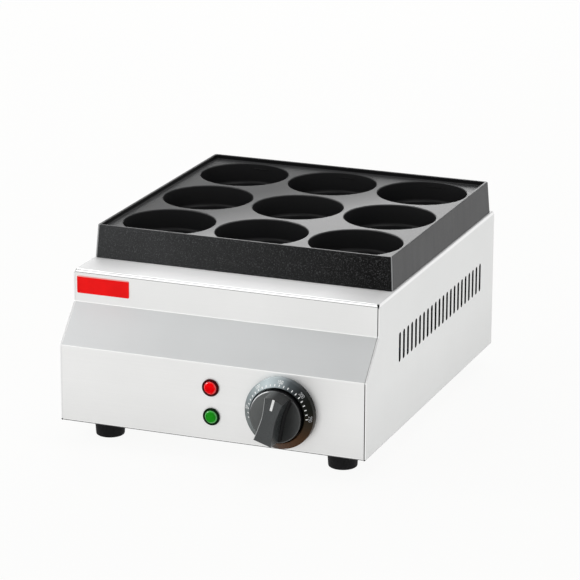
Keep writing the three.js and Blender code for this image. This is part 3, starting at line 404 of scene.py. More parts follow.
def brushed_steel(name, colour, roughness=0.5, metallic=0.78, sheen=0.5, shades=(), grain=ACROSS):
    """Satin sheet with a fine grain along one axis and faint clouds of tone and gloss.

    A shade is (direction, low, high, tone, tone): two tones of painted light and shade held outside
    two lengths in mm.
    """
    g = Graph(name)
    fine = g.noise(1.0, 4, 0.65, g.stretched(grain))
    coarse = g.noise(1.0, 2, vector=g.stretched([c * 0.22 for c in grain]))
    cloud = g.noise(9.0)
    tone = g.clouded(colour, 0.97, cloud)
    tone = g.mixed(tone, g.ramp(fine, (0.25, 0.9), (0.75, 1.0)), 0.3, "MULTIPLY")
    for direction, low, high, first, last in shades:
        tone = g.scaled(tone, g.along(direction, low, high), (0.0, first), (1.0, last))
    gloss = g.mixed(g.ramp(fine, (0.3, roughness - 0.03), (0.7, roughness + 0.03)),
                    g.ramp(cloud, (0.3, roughness - 0.03), (0.7, roughness + 0.05)))
    g.bump(coarse, 0.004, 0.3)
    g.bump(fine, 0.005, 0.5)
    g.set(Base_Color=tone, Roughness=gloss, Metallic=metallic, Specular_IOR_Level=sheen)


def cast_coating(name, base, gloss, speckle_and_painted_shade=0.0, streaks=0.0, sheen=0.5, dull=0.0):
    """Dark satin non-stick coat over a casting.

    A speckled one darkens towards the right, a painted shade, and a dull one loses its gloss
    towards the rear left.
    """
    g = Graph(name)
    grain = g.noise(900.0, 2, 0.6)
    cloud = g.noise(14.0, 4, 0.6)
    tone = g.clouded(base, 0.8, cloud, 0.3, 0.7)
    if speckle_and_painted_shade:
        # Darker towards the right: painted shade
        tone = g.scaled(tone, g.along(RIGHTWARD, -150, 150), (0.0, 1.0), (1.0, 0.05))
        spots = g.span(g.noise(880.0, 3, 0.7), 0.54, 0.74, 0.0, speckle_and_painted_shade)
        tone = g.mixed(tone, (0.15, 0.153, 0.157), spots)
    rough = g.ramp(grain, (0.3, gloss - 0.05), (0.7, gloss + 0.06))
    if streaks:
        run = g.noise(1.0, 3, 0.6, g.stretched((160.0, 160.0, 7.0)))
        rough = g.mixed(rough, g.ramp(run, (0.35, gloss - 0.14), (0.65, gloss + 0.14)), streaks)
    if dull:
        rear_left = g.along((-0.8, 0.6, 0), -50, 80, (0, PLATE_Y, 0))
        rough = g.mixed(rough, (dull, dull, dull), rear_left)
    g.bump(grain, 0.03, 0.4)
    g.bump(cloud, 0.1, 0.15)
    g.set(Base_Color=tone, Roughness=rough, Specular_IOR_Level=sheen)


def moulded(name, colour, gloss, texture=0.02, scale=700.0, sheen=0.5, lacquer=0.0,
            shades=(), turns=()):
    """Moulded plastic or rubber with a fine texture and slight changes of tone.

    Shades are stops of painted light and shade across the knob, turns are stops of a painted
    highlight round it.
    """
    g = Graph(name)
    grain = g.noise(scale, 2)
    tone = g.clouded(colour, 0.86, g.noise(30.0))
    if shades:
        across = g.along(RIGHTWARD, -KNOB_RADIUS, KNOB_RADIUS, (KNOB_X, 0, 0))
        tone = g.scaled(tone, across, *shades)
    if turns:
        tone = g.scaled(tone, g.turn(), *turns)
    rough = g.ramp(grain, (0.3, gloss - 0.05), (0.7, gloss + 0.07))
    g.bump(grain, texture, 0.5)
    g.set(Base_Color=tone, Roughness=rough, Specular_IOR_Level=sheen,
          Coat_Weight=lacquer, Coat_Roughness=0.15, Coat_IOR=2.0)


# Tones of the dial by the angle from straight up, clockwise: a painted highlight at the upper
# left, grey, and a painted reflection below, brown
DIAL_PAINTED_LIGHT = (
    (-180, 0.075, 0.046, 0.03), (-160, 0.044, 0.045, 0.044), (-140, 0.06, 0.065, 0.064),
    (-120, 0.14, 0.16, 0.16), (-90, 0.18, 0.2, 0.2), (-60, 0.26, 0.3, 0.31),
    (-38, 0.4, 0.46, 0.47), (-20, 0.54, 0.61, 0.63), (0, 0.38, 0.43, 0.45),
    (20, 0.08, 0.093, 0.1), (40, 0.023, 0.026, 0.027), (60, 0.007, 0.008, 0.006),
    (80, 0.008, 0.009, 0.006), (105, 0.03, 0.021, 0.012), (140, 0.074, 0.033, 0.012),
    (180, 0.08, 0.036, 0.016))


def anodised_with_painted_light(name):
    """The dial's black coat, with a painted highlight at the upper left and a painted reflection
    below.
    """
    g = Graph(name)
    tone = g.ramp(g.turn(), *[((angle + 180) / 360, tuple(rgb)) for angle, *rgb in DIAL_PAINTED_LIGHT])
    g.bump(g.noise(900.0, 2), 0.003, 0.4)
    g.set(Base_Color=tone, Roughness=g.span(g.noise(90.0, 2), 0.3, 0.7, 0.15, 0.22),
          Specular_IOR_Level=0.06)


def plain_metal(name, colour, gloss, dark=0.8):
    """Small metal parts, slightly tarnished in clouds, with a fine grain."""
    g = Graph(name)
    cloud = g.noise(60.0, 4, 0.6)
    rough = g.ramp(cloud, (0.3, gloss + 0.08), (0.7, gloss - 0.04))
    g.bump(g.noise(1200.0, 2), 0.006, 0.4)
    g.set(Base_Color=g.clouded(colour, dark, cloud, 0.35, 0.6), Roughness=rough, Metallic=1.0)


def lamp_glass(name, colour, gloss, sheen=0.1, glow=0.0, lacquer=0.0):
    """Coloured plastic of a lamp, with a faint light of its own."""
    g = Graph(name)
    cloud = g.noise(120.0, 2)
    rough = g.span(cloud, 0.3, 0.7, gloss, gloss + 0.04)
    g.set(Base_Color=g.clouded(colour, 0.7, cloud, 0.3, 0.6), Roughness=rough,
          Specular_IOR_Level=sheen, Emission_Color=colour, Emission_Strength=glow,
          Coat_Weight=lacquer, Coat_Roughness=0.12, Coat_IOR=1.9)


def fibre(name, colour):
    """Felted mineral wool."""
    g = Graph(name)
    strands = g.noise(1.0, 5, 0.7, g.stretched((220.0, 60.0, 300.0)))
    g.bump(strands, 0.6, 0.6)
    tone = g.ramp(strands, (0.3, tuple(c * 0.75 for c in colour)), (0.7, colour))
    g.set(Base_Color=tone, Roughness=g.span(strands, 0.2, 0.8, 0.85, 1.0))


DULL_STEEL = (0.72, 0.725, 0.73)

# Front and sides darker towards the bottom: painted shade
brushed_steel("steel_across", (0.88, 0.88, 0.873), shades=[(UPWARD, 15, 70, 0.93, 1.0)])
brushed_steel("steel_upright", (0.855, 0.86, 0.855), shades=[(UPWARD, 25, 90, 0.92, 1.0)],
              grain=UPRIGHT)
# The slope: a darker copy of the sheet steel, darker still towards the right: painted shade
brushed_steel("steel_slope_painted_shade", (0.66, 0.67, 0.672), shades=[(RIGHTWARD, -150, 150, 1.0, 0.93)])
# The deck: a lighter, nearly matte copy of the sheet steel, painted light, darker at both ends,
# painted shade
brushed_steel("steel_deck_painted_light_and_shade", (0.93, 0.93, 0.93), 0.62, 0.1, 0.15,
              [(RIGHTWARD, -165, -100, 0.77, 1.0), (RIGHTWARD, 110, 165, 1.0, 0.74)])
# The bends: a brighter, glossier copy of the sheet steel, partly real gloss and partly a painted
# highlight
brushed_steel("steel_fold_painted_highlight", (0.95, 0.95, 0.95), 0.3, 1.0)
brushed_steel("steel_shadow", (0.14, 0.14, 0.14), 0.5, 0.1, 0.1,
              [(RIGHTWARD, -176, -110, 0.1, 1.0)])
brushed_steel("steel_back", DULL_STEEL, 0.36)
# Painted shade: dark on the back panel's inside, which is seen through the vent slots
brushed_steel("steel_rear_painted_shade", DULL_STEEL, 0.36,
              shades=[(REARWARD, PANEL_REAR_Y - 1.0, PANEL_REAR_Y - 0.4, 0.04, 1.0)])
# Black for the vents' cut edges, the crease and the patch behind the relief hole: painted shade
moulded("painted_shade_black", (0.006, 0.006, 0.006), 0.6, sheen=0.0)
# The walls' coat darkens towards the right: painted shade
cast_coating("coat_wall", (0.041, 0.042, 0.043), 0.5, 0.7, sheen=0.1)
# A lighter copy of the coat on the long side walls: painted light
cast_coating("coat_side_painted_light", (0.067, 0.0675, 0.069), 0.5, streaks=0.15, sheen=0.3)
# A far lighter copy on the plate's corners: a painted highlight
cast_coating("coat_corner_painted_highlight", (0.32, 0.325, 0.33), 0.4, sheen=0.3)
cast_coating("coat_top", (0.016, 0.0165, 0.0175), 0.42, dull=0.7)
# A darker copy in the cups and on the rim's inner wall: painted shade
cast_coating("coat_cup_painted_shade", (0.004, 0.004, 0.0045), 0.45, sheen=0.2)
moulded("rubber", (0.0045, 0.0045, 0.005), 0.7, 0.05, 400.0, 0.18)
moulded("knob_plastic", (0.040, 0.0445, 0.0455), 0.3, 0.003, 1100.0)
# Black of the knob's base wall, also painted shade on the grip's right-hand root
moulded("knob_black_and_painted_shade", (0.004, 0.004, 0.0045), 0.4, 0.008, sheen=0.15)
# Light only on an upper-left crescent of the rim: a painted highlight
moulded("knob_rim_painted_highlight", (0.78, 0.8, 0.81), 0.25, 0.003, 1100.0, 0.2, 0.3,
        turns=[(0.27, 0.04), (0.35, 1.0), (0.44, 1.0), (0.51, 0.04)])
# A lighter copy of the knob's plastic, painted light, darker right of the grip, painted shade
moulded("knob_dish_painted_light_and_shade", (0.145, 0.152, 0.150), 0.42, 0.003, 1100.0, 0.18,
        shades=[(0.42, 1.0), (0.6, 0.16), (0.8, 0.2), (0.97, 0.42)])
# Lighter plastic on the grip's left bevel: a painted highlight
moulded("knob_edge_painted_highlight", (0.42, 0.43, 0.43), 0.3, 0.004)
moulded("black_plastic", (0.018, 0.018, 0.020), 0.45)
moulded("print_white", (0.86, 0.87, 0.86), 0.5, 0.005)
# A grey copy of the print for the numbers on the right: painted shade
moulded("print_grey_painted_shade", (0.40, 0.41, 0.42), 0.5, 0.005)
moulded("badge_red", (0.95, 0.010, 0.010), 0.5, 0.004, sheen=0.05)
moulded("badge_glint", (0.95, 0.40, 0.38), 0.4, 0.004, sheen=0.3)
anodised_with_painted_light("dial_coat_painted_light")
lamp_glass("face_red", (0.86, 0.001, 0.003), 0.12, 0.02, 0.16)
lamp_glass("face_green", (0.012, 0.28, 0.010), 0.12, 0.02)
# Dark copies of the lens colours on the flanges: painted shade
lamp_glass("flange_red", (0.060, 0.0005, 0.001), 0.2, 0.06)
lamp_glass("flange_green", (0.0015, 0.016, 0.002), 0.2, 0.06)
lamp_glass("bevel_red", (0.84, 0.002, 0.004), 0.14, 0.2, 0.12, 0.6)
# A lighter copy of the green on its bevel: a painted highlight
lamp_glass("bevel_green", (0.045, 0.44, 0.055), 0.16, 0.5, 0.0, 0.3)
plain_metal("zinc", (0.66, 0.67, 0.69), 0.34)
plain_metal("screw_steel", (0.62, 0.62, 0.63), 0.28)
plain_metal("element_sheath", (0.30, 0.27, 0.24), 0.45, (0.16, 0.13, 0.11))
plain_metal("copper", (0.74, 0.42, 0.27), 0.3)
plain_metal("brass", (0.74, 0.58, 0.26), 0.3)
moulded("block_plastic", (0.72, 0.70, 0.63), 0.5)
moulded("wire_red", (0.45, 0.03, 0.02), 0.5)
moulded("wire_blue", (0.04, 0.12, 0.42), 0.5)
fibre("insulation", (0.78, 0.77, 0.72))


# Housing: one folded sheet, given by its outer skin. A cut edge takes the slot two further on,
# so the sides' edges get the bends' painted highlight and the vents' edges black painted shade.

FRONT, SIDE, DECK, BENT, SLOPE, VENT, SHADE, BLACK_SHADE = range(8)
CUT_EDGE_OFFSET = 2


def relief_x(y):
    """How far along x the front wrap reaches at a depth y, short of the relief hole."""
    gap = RELIEF_RADIUS ** 2 - (y - RELIEF[1]) ** 2
    return min(PANEL_HALF, RELIEF[0] - math.sqrt(gap)) if gap > 0 else PANEL_HALF


def relief_y(x):
    """Where along y the long fold starts at a place x, behind the relief hole."""
    return RELIEF[1] + math.sqrt(max(RELIEF_RADIUS ** 2 - (x - RELIEF[0]) ** 2, 0))


def front_profile():
    """The (y, z) line of the front wrap from the turned-in base flange up to the deck."""
    corners = [(FRONT_Y + FLANGE, BOTTOM_Z), *SIDE_PROFILE, (BAND_Y + FOLD * 2, DECK_Z)]
    line = rounded(corners, [0, BEND, BEND, BEND, FOLD, 0], 5)
    crease = next(i for i, (y, z) in enumerate(line) if z > DECK_Z - FOLD - 0.01)
    return line[:crease] + [(BAND_Y, CREASE_Z)] + line[crease:-1]


def wrap_slot(low, high):
    """The slot of a strip of the front wrap between two (x, y, z) ends of its rows."""
    (_, y, z), (_, next_y, next_z) = low, high
    bend = math.dist(low, high) < 1.5
    # The crease row under the front fold is black: painted shade
    if abs(y - BAND_Y) + abs(next_y - BAND_Y) < 0.01 and next_z - z < 1:
        return BLACK_SHADE
    if bend and next_z < BOTTOM_Z + 1.5:
        return SHADE
    if bend and next_z > SLOPE_HEAD_Z + 5 or next_z < SLOPE_FOOT_Z - 10:
        return BENT
    sloped = not bend and FRONT_Y + 0.01 < y < BAND_Y - 3.0 and next_z > SLOPE_FOOT_Z
    return SLOPE if sloped else FRONT


def front_wrap(skin):
    """Front panel, slope, band and front fold; gives its section."""
    line = front_profile()
    rows = []
    for y, z in line:
        reach = relief_x(y) if z > DECK_Z - FOLD - 0.01 else PANEL_HALF
        rows.append(((-reach, y, z), (reach, y, z)))
    for low, high in zip(rows, rows[1:]):
        z, next_z = low[0][2], high[0][2]
        if max(low[0][1], high[0][1]) < FRONT_Y + 1e-3 and next_z - z > 20:
            front_panel(skin, z, next_z)
        else:
            skin.face((low[0], low[1], high[1], high[0]), wrap_slot(low[0], high[0]))
    return line


def front_panel(skin, low, high):
    """The flat of the front panel with the holes of the shaft, the screws and the lamps."""
    holes = [circle(5.0, 24, (KNOB_X, CONTROL_Z))]
    holes += [circle(2.1, 12, (KNOB_X + side * 14.0, CONTROL_Z)) for side in (-1, 1)]
    holes += [circle(6.3, 24, place) for place in LAMPS.values()]
    panel = Skin()
    panel.flat([(-PANEL_HALF, low), (PANEL_HALF, low), (PANEL_HALF, high), (-PANEL_HALF, high)],
               holes, 0.0)
    for points, _ in panel.faces:
        skin.face([(p.x, FRONT_Y, p.y) for p in points], FRONT)


def seam_backing(skin, side, line):
    """The side's lip seen at the bottom of the seam, and black painted shade behind the relief
    hole.
    """
    depth, margin = (0.6, 0.5) if side > 0 else (0.1, -0.01)
    rows = []
    for a, b, c in zip(line, line[1:], line[2:]):
        if BOTTOM_Z + BEND + margin < b[1] < CREASE_Z - margin:
            y, z = Vector(b) + right_of(a, c) * depth
            rows.append([(side * x, y, z) for x in (PANEL_HALF + 0.02, HALF_WIDTH - SHEET - 0.02)])
    skin.loft(rows, SIDE, closed=False)
    near, far, y = side * (HALF_WIDTH - SHEET - 0.1), side * (HALF_WIDTH - 8), BAND_Y + 4.2
    low, high = DECK_Z - FOLD - 4, DECK_Z - SHEET - 0.1
    skin.face([(near, y, low), (far, y, low), (far, y, high), (near, y, high)], BLACK_SHADE)


def seam_flange(skin, side, line):
    """The front wrap's edge turned back behind the seam, up to the foot of the front fold."""
    corners = [(FRONT_Y, BOTTOM_Z + BEND), *SIDE_PROFILE[1:3], (BAND_Y, DECK_Z - FOLD)]
    corners = [Vector(c) for c in corners]
    inner = [c + mean * (SEAM_FLANGE / share) for c, (mean, share) in zip(corners, mitres(corners))]
    x = side * PANEL_HALF
    slot = SHADE if side > 0 else FRONT
    groups = [[] for _ in corners]
    low, high = BOTTOM_Z + BEND - 0.01, DECK_Z - FOLD + 0.01
    for y, z in line:
        on_base = y > FRONT_Y + 0.01 and z < SLOPE_FOOT_Z - 3
        if low <= z <= high and y < BAND_Y + 0.01 and not on_base:
            distances = [(Vector((y, z)) - c).length for c in corners]
            groups[distances.index(min(distances))].append((x, y, z))
    for i, group in enumerate(groups):
        deep = (x, *inner[i])
        for a, b in zip(group, group[1:]):
            skin.face((a, b, deep), slot)
        if i < 3 and group and groups[i + 1]:
            skin.face((group[-1], groups[i + 1][0], (x, *inner[i + 1]), deep), slot)


def side_fold(skin, side):
    """The long fold from the deck down to one side, which starts behind the relief hole."""
    columns = [[(side * x, relief_y(x), z), (side * x, REAR_Y, z)]
               for x, z in arc((HALF_WIDTH - FOLD, DECK_Z - FOLD), FOLD, 90, 0, 6)]
    skin.loft(columns[:3], DECK, closed=False)
    skin.loft(columns[2:], BENT, closed=False)


def deck(skin):
    """The deck as strips round its window."""
    half, front = HALF_WIDTH - FOLD, BAND_Y + FOLD
    ends = [(relief_x(front), front), (half, relief_y(half))]
    angles = [math.degrees(math.atan2(y - RELIEF[1], x - RELIEF[0])) for x, y in ends]
    corner = arc(RELIEF, RELIEF_RADIUS, *angles, 3)
    wide, near, far = WINDOW_HALF[0], PLATE_Y - WINDOW_HALF[1], PLATE_Y + WINDOW_HALF[1]
    strips = [
        [*[(-x, y) for x, y in corner], (-half, near), (-wide, near), (wide, near), (half, near),
         *reversed(corner)],
        [(-half, near), (-half, far), (-wide, far), (-wide, near)],
        [(half, near), (wide, near), (wide, far), (half, far)],
        [(-half, far), (-half, REAR_Y), (half, REAR_Y), (half, far), (wide, far), (-wide, far)],
    ]
    for strip in strips:
        skin.face([(x, y, DECK_Z) for x, y in strip], DECK)


def slot_ring():
    """Matched rings round a vent slot: the slot's outline and the cell it sits in."""
    crown, shoulder = 1.2, 1.6
    slot, cell = [], []
    for way in (1, -1):
        for y, z in arc((0, 0), VENT_HALF_WIDTH, 0, 180, 10):
            slot.append((way * y, way * (z + VENT_HALF_STRAIGHT)))
            across = min(max(y / crown, -1), 1) * VENT_PITCH / 2
            at_top = abs(y) <= crown or z > shoulder
            lift = VENT_CELL_HALF_HEIGHT if at_top else VENT_HALF_STRAIGHT + z * 1.3
            cell.append((way * across, way * lift))
    return slot, cell


def side_panel(skin, side):
    """One side with its row of vent slots, its top edge at the fold and its base flange."""
    x = side * HALF_WIDTH
    for i in range(VENT_COUNT):
        y = VENT_FIRST_Y + i * VENT_PITCH
        skin.loft([[(x, y + a, VENT_Z + b) for a, b in ring] for ring in slot_ring()], VENT)
    low, high = VENT_Z - VENT_CELL_HALF_HEIGHT, VENT_Z + VENT_CELL_HALF_HEIGHT
    near = VENT_FIRST_Y - VENT_PITCH / 2
    far = VENT_FIRST_Y + (VENT_COUNT - 0.5) * VENT_PITCH
    top, foot = DECK_Z - FOLD, BOTTOM_Z + BEND
    edge = rounded(SIDE_PROFILE, [0, BEND, BEND, 0], 5)[1:-1]
    relief = [(BAND_Y, top - 1.6), (BAND_Y + 0.9, top - 1.3), (BAND_Y + 1.9, top - 0.6),
              (relief_y(HALF_WIDTH), top)]
    areas = [
        [(FRONT_Y, foot), *edge, *relief, (near, top), (near, high), (near, low), (near, foot)],
        [(near, high), (near, top), (far, top), (far, high)],
        [(near, foot), (near, low), (far, low), (far, foot)],
        [(far, foot), (far, low), (far, high), (far, top), (REAR_Y, top), (REAR_Y, foot)],
    ]
    for area in areas:
        skin.face([(x, y, z) for y, z in area], SIDE)
    columns = [[(side * a, y, z) for y in (FRONT_Y, REAR_Y)]
               for a, z in arc((HALF_WIDTH - BEND, foot), BEND, 0, -90, 5)]
    inner_x = side * (HALF_WIDTH - FLANGE)
    columns.append([(inner_x, FRONT_Y + FLANGE, BOTTOM_Z), (inner_x, REAR_Y, BOTTOM_Z)])
    for rows, slot in ((columns[:2], SIDE), (columns[1:6], SHADE), (columns[5:], SIDE)):
        skin.loft(rows, slot, closed=False)


def housing_sheet():
    skin = Skin()
    line = front_wrap(skin)
    for side in (-1, 1):
        seam_flange(skin, side, line)
        seam_backing(skin, side, line)
        side_fold(skin, side)
        side_panel(skin, side)
    deck(skin)
    finish_piece("housing_sheet", skin.stitch(),
                 ["steel_across", "steel_upright", "steel_deck_painted_light_and_shade", "steel_fold_painted_highlight", "steel_slope_painted_shade",
                  "steel_upright", "steel_shadow", "painted_shade_black"],
                 ["housing_shell"], sheet=SHEET)


# Cast griddle plate

def plate_rings(section):
    """Rings parallel to the casting's outer wall, one for each (inset, height)."""
    rings = []
    for inset, z in section:
        draft = PLATE_DRAFT * (z - PLATE_BOTTOM_Z) / (PLATE_TOP_Z - PLATE_BOTTOM_Z)
        radius = max(PLATE_CORNER - inset, PLATE_CORNER if inset > RIM - 1 else 0.8)
        outline = rounded_rectangle(PLATE_HALF_X - draft - inset, PLATE_HALF_Y - draft - inset,
                                    radius, 6, (0.0, PLATE_Y))
        rings.append([(x, y, z) for x, y in outline])
    return rings


def casting():
    """The plate: outer walls, raised rim, cooking surface and nine cups."""
    wall, top, cup, corner, side = range(5)
    edge, rim_edge, root, lip, curve = 1.2, 0.8, 1.4, 1.3, 4.0

    def wall_slot(_, i):
        """Seven faces run from corner to corner: six short ones and the long wall."""
        # The corners' middle faces take a far lighter coat, a painted highlight; the long side
        # walls a lighter one, painted light
        return side if i % 14 == 13 else corner if i % 7 in (3, 4) else wall

    outer = [(SKIRT, PLATE_BOTTOM_Z), (0.5, PLATE_BOTTOM_Z), (0.0, PLATE_BOTTOM_Z + 0.5)]
    outer += arc((edge, PLATE_TOP_Z - edge), edge, 180, 90, 5)
    inner = arc((RIM - rim_edge, PLATE_TOP_Z - rim_edge), rim_edge, 90, 0, 4)
    inner += arc((RIM + root, COOKING_Z + root), root, 180, 270, 5)
    skin = Skin()
    skin.loft(plate_rings(outer), wall_slot)
    rings = plate_rings([outer[-1], *inner])
    # The rim's inner wall and the cups take the darker coat: painted shade
    for rows, slot in ((rings[:5], top), (rings[4:9], cup), (rings[8:], top)):
        skin.loft(rows, slot)
    mouth = arc((CUP_RADIUS + lip, COOKING_Z - lip), lip, 90, 176, 5)
    floor_z, floor_radius = COOKING_Z - CUP_DEPTH, CUP_RADIUS - CUP_DRAFT
    bowl = arc((floor_radius - curve, floor_z + curve), curve, -4, -90, 6)
    bowl.append((floor_radius - curve - 16.0, floor_z))
    centres = [(column * CUP_PITCH, PLATE_Y + row * CUP_PITCH)
               for row in (-1, 0, 1) for column in (-1, 0, 1)]
    for centre in centres:
        rows = circles(mouth + bowl, 72, centre)
        skin.loft(rows[:len(mouth)], top)
        skin.loft(rows[len(mouth) - 1:], cup, last=True)
    skin.flat(rings[-1], [circle(mouth[0][0], 72, c) for c in centres], COOKING_Z, top)
    casting_underside(skin, centres)
    finish_piece("griddle_casting", skin,
                 ["coat_wall", "coat_top", "coat_cup_painted_shade", "coat_corner_painted_highlight", "coat_side_painted_light"],
                 ["griddle_plate"], sharp=50)


def casting_underside(skin, centres):
    """The skirt's inside, the web and the outsides of the cups, with four bosses."""
    root, chamfer = 2.5, 1.0
    inside = [(SKIRT, PLATE_BOTTOM_Z), *arc((SKIRT + root, WEB_Z - root), root, 180, 90, 4)]
    rings = plate_rings(inside)
    skin.loft(rings)
    base_z = COOKING_Z - CUP_DEPTH - CUP_WALL
    radius = CUP_RADIUS - CUP_DRAFT + CUP_WALL - 0.5
    pot = [(radius + chamfer, WEB_Z), (radius, WEB_Z - chamfer), (radius - 0.6, base_z + 2.0),
           (radius - 1.2, base_z + 0.6), (radius - 2.6, base_z)]
    boss = [(BOSS_RADIUS + chamfer, WEB_Z), (BOSS_RADIUS, WEB_Z - chamfer),
            (BOSS_RADIUS, base_z + 0.5), (BOSS_RADIUS - 0.5, base_z),
            (BOSS_BORE, base_z), (BOSS_BORE, base_z + BOSS_DEPTH)]
    boss_centres = [(column * CUP_PITCH / 2, PLATE_Y + row * CUP_PITCH / 2)
                    for column in (-1, 1) for row in (-1, 1)]
    holes = []
    for profile, steps, places in ((pot, 48, centres), (boss, 24, boss_centres)):
        for centre in places:
            holes.append(circle(profile[0][0], steps, centre))
            skin.loft(circles(profile, steps, centre), last=True)
    skin.flat(rings[-1], holes, WEB_Z)


# Controls on the front panel

def cone_height(radius):
    """How far out the dial's cone stands at a radius."""
    low, high = DIAL_RADIUS - 0.5, DIAL_INNER + 0.7
    return DIAL_RIM + (DIAL_CROWN - DIAL_RIM) * (low - radius) / (low - high)


def dial():
    """The dial: an upright rim, a cone up to the knob and a floor with a bore for the shaft."""
    gap, wall = 0.3, 1.6
    outer, inner, bore = DIAL_RADIUS, DIAL_INNER, DIAL_BORE
    profile = [(bore, DIAL_FLOOR), (inner - 0.4, DIAL_FLOOR), (inner, DIAL_FLOOR + 0.4),
               (inner, DIAL_CROWN - 0.7), *arc((inner + 0.55, DIAL_CROWN - 0.6), 0.55, 180, 45, 5)]
    profile += [(r, cone_height(r)) for r in (inner + 1.2, inner + 3.5, outer - 3.0, outer - 0.9)]
    profile += arc((outer - 0.5, DIAL_RIM - 0.35), 0.5, 45, 0, 4)
    profile += [(outer, gap + 0.3), (outer - 0.3, gap), (outer - wall, gap),
                (outer - wall, DIAL_RIM - wall), (inner + wall, DIAL_CROWN - 2 * wall),
                (inner + wall, DIAL_FLOOR - wall), (bore, DIAL_FLOOR - wall), (bore, DIAL_FLOOR)]
    finish_piece("dial_face", Skin().loft(circles(profile, 128)).moved(AT_KNOB), ["dial_coat_painted_light"],
                 ["dial_plate"], sharp=30)


# Strokes of plain digits, one unit high
DIGIT_WIDTH, DIGIT_GAP = 0.58, 0.26
DIGITS = {
    "0": [[(0.18, 0), (0.4, 0), (0.58, 0.2), (0.58, 0.8), (0.4, 1), (0.18, 1), (0, 0.8), (0, 0.2),
           (0.18, 0)]],
    "1": [[(0.12, 0.78), (0.34, 1), (0.34, 0)]],
    "2": [[(0, 0.8), (0.16, 1), (0.42, 1), (0.58, 0.84), (0.58, 0.62), (0, 0), (0.58, 0)]],
    "5": [[(0.58, 1), (0.06, 1), (0.02, 0.56), (0.4, 0.6), (0.58, 0.42), (0.58, 0.18), (0.4, 0),
           (0.14, 0), (0, 0.14)]],
}


def stroke(skin, path, width, slot=0, low=-0.05, high=0.1):
    """A raised line of constant width along a path, both in the plane."""
    points = [Vector(p) for p in path]
    left, right = [], []
    for p, (mean, share) in zip(points, mitres(points)):
        reach = width / 2 / max(share, 0.5)
        left.append(p - mean * reach)
        right.append(p + mean * reach)

    def wall(a, b):
        skin.face([(*a, low), (*b, low), (*b, high), (*a, high)], slot)

    for a, b, c, d in zip(left, left[1:], right[1:], right):
        skin.face([(*q, high) for q in (a, b, c, d)], slot)
        skin.face([(*q, low) for q in (d, c, b, a)], slot)
        wall(a, b)
        wall(c, d)
    if (points[0] - points[-1]).length >= 1e-6:
        wall(left[0], right[0])
        wall(left[-1], right[-1])


def dial_print():
    """White scale on the dial's cone: a ring of ticks and plain numbers outside it."""
    skin = Skin()
    ticks, first, last = 23, -101.0, 91.0
    for i in range(ticks):
        a = math.radians(90 - (first + (last - first) * i / (ticks - 1)))
        way = Vector((math.cos(a), math.sin(a)))
        stroke(skin, [way * 32.9, way * 34.8], 1.35 if i < 10 else 1.1)
    size, foot_radius = 2.7, 35.6
    pitch = DIGIT_WIDTH + DIGIT_GAP
    for turn, text in ((-84, "50"), (-40, "100"), (3.5, "150"), (47, "200"), (91, "250")):
        spin = Matrix.Rotation(math.radians(-turn), 2)
        start = (DIGIT_GAP - len(text) * pitch) / 2
        for k, digit in enumerate(text):
            for path in DIGITS[digit]:
                placed = [spin @ Vector(((start + k * pitch + x) * size, foot_radius + y * size))
                          for x, y in path]
                # Numbers on the right take the grey print: painted shade
                stroke(skin, placed, 0.45, 1 if turn > 20 else 0)
    for points, _ in skin.faces:
        for p in points:
            p.z += cone_height(math.hypot(p.x, p.y))
    finish_piece("dial_scale", skin.moved(AT_KNOB), ["print_white", "print_grey_painted_shade"])


GRIP_STEPS, TIP_STEPS = 22, 12
WAIST_Y = 4.0


def grip_ring(height, spread, tip_in):
    """A section of the grip: waisted flanks, a round tip and a flat tail."""
    tip = KNOB_RADIUS - 0.3 - tip_in
    tail = -24.3 + tip_in
    end = 10.7 + spread
    tip_half = math.asin(end / tip)
    top = tip * math.cos(tip_half)

    def half(y):
        """Half the grip's width before its tip flares."""
        return 7.9 + spread + (2.8 if y > WAIST_Y else 1.95) * (abs(y - WAIST_Y) / 23.0) ** 1.5

    flare = (end - half(top)) / (top - WAIST_Y) ** 2
    ys = [tail + (top - tail) * i / GRIP_STEPS for i in range(GRIP_STEPS + 1)]
    flank = [(half(y) + flare * max(y - WAIST_Y, 0.0) ** 2, y) for y in ys]
    turns = [tip_half * (1 - 2 * i / TIP_STEPS) for i in range(1, TIP_STEPS)]
    tip_line = [(tip * math.sin(a), tip * math.cos(a)) for a in turns]
    left = [(-x, y) for x, y in reversed(flank)]
    base = [(-flank[0][0] * (1 - 2 * i / 6), tail) for i in range(1, 6)]
    return [(x, y - 0.045 * (x + 10) * max(0.0, -y / 24.0) ** 3, height)
            for x, y in flank + tip_line + left + base]


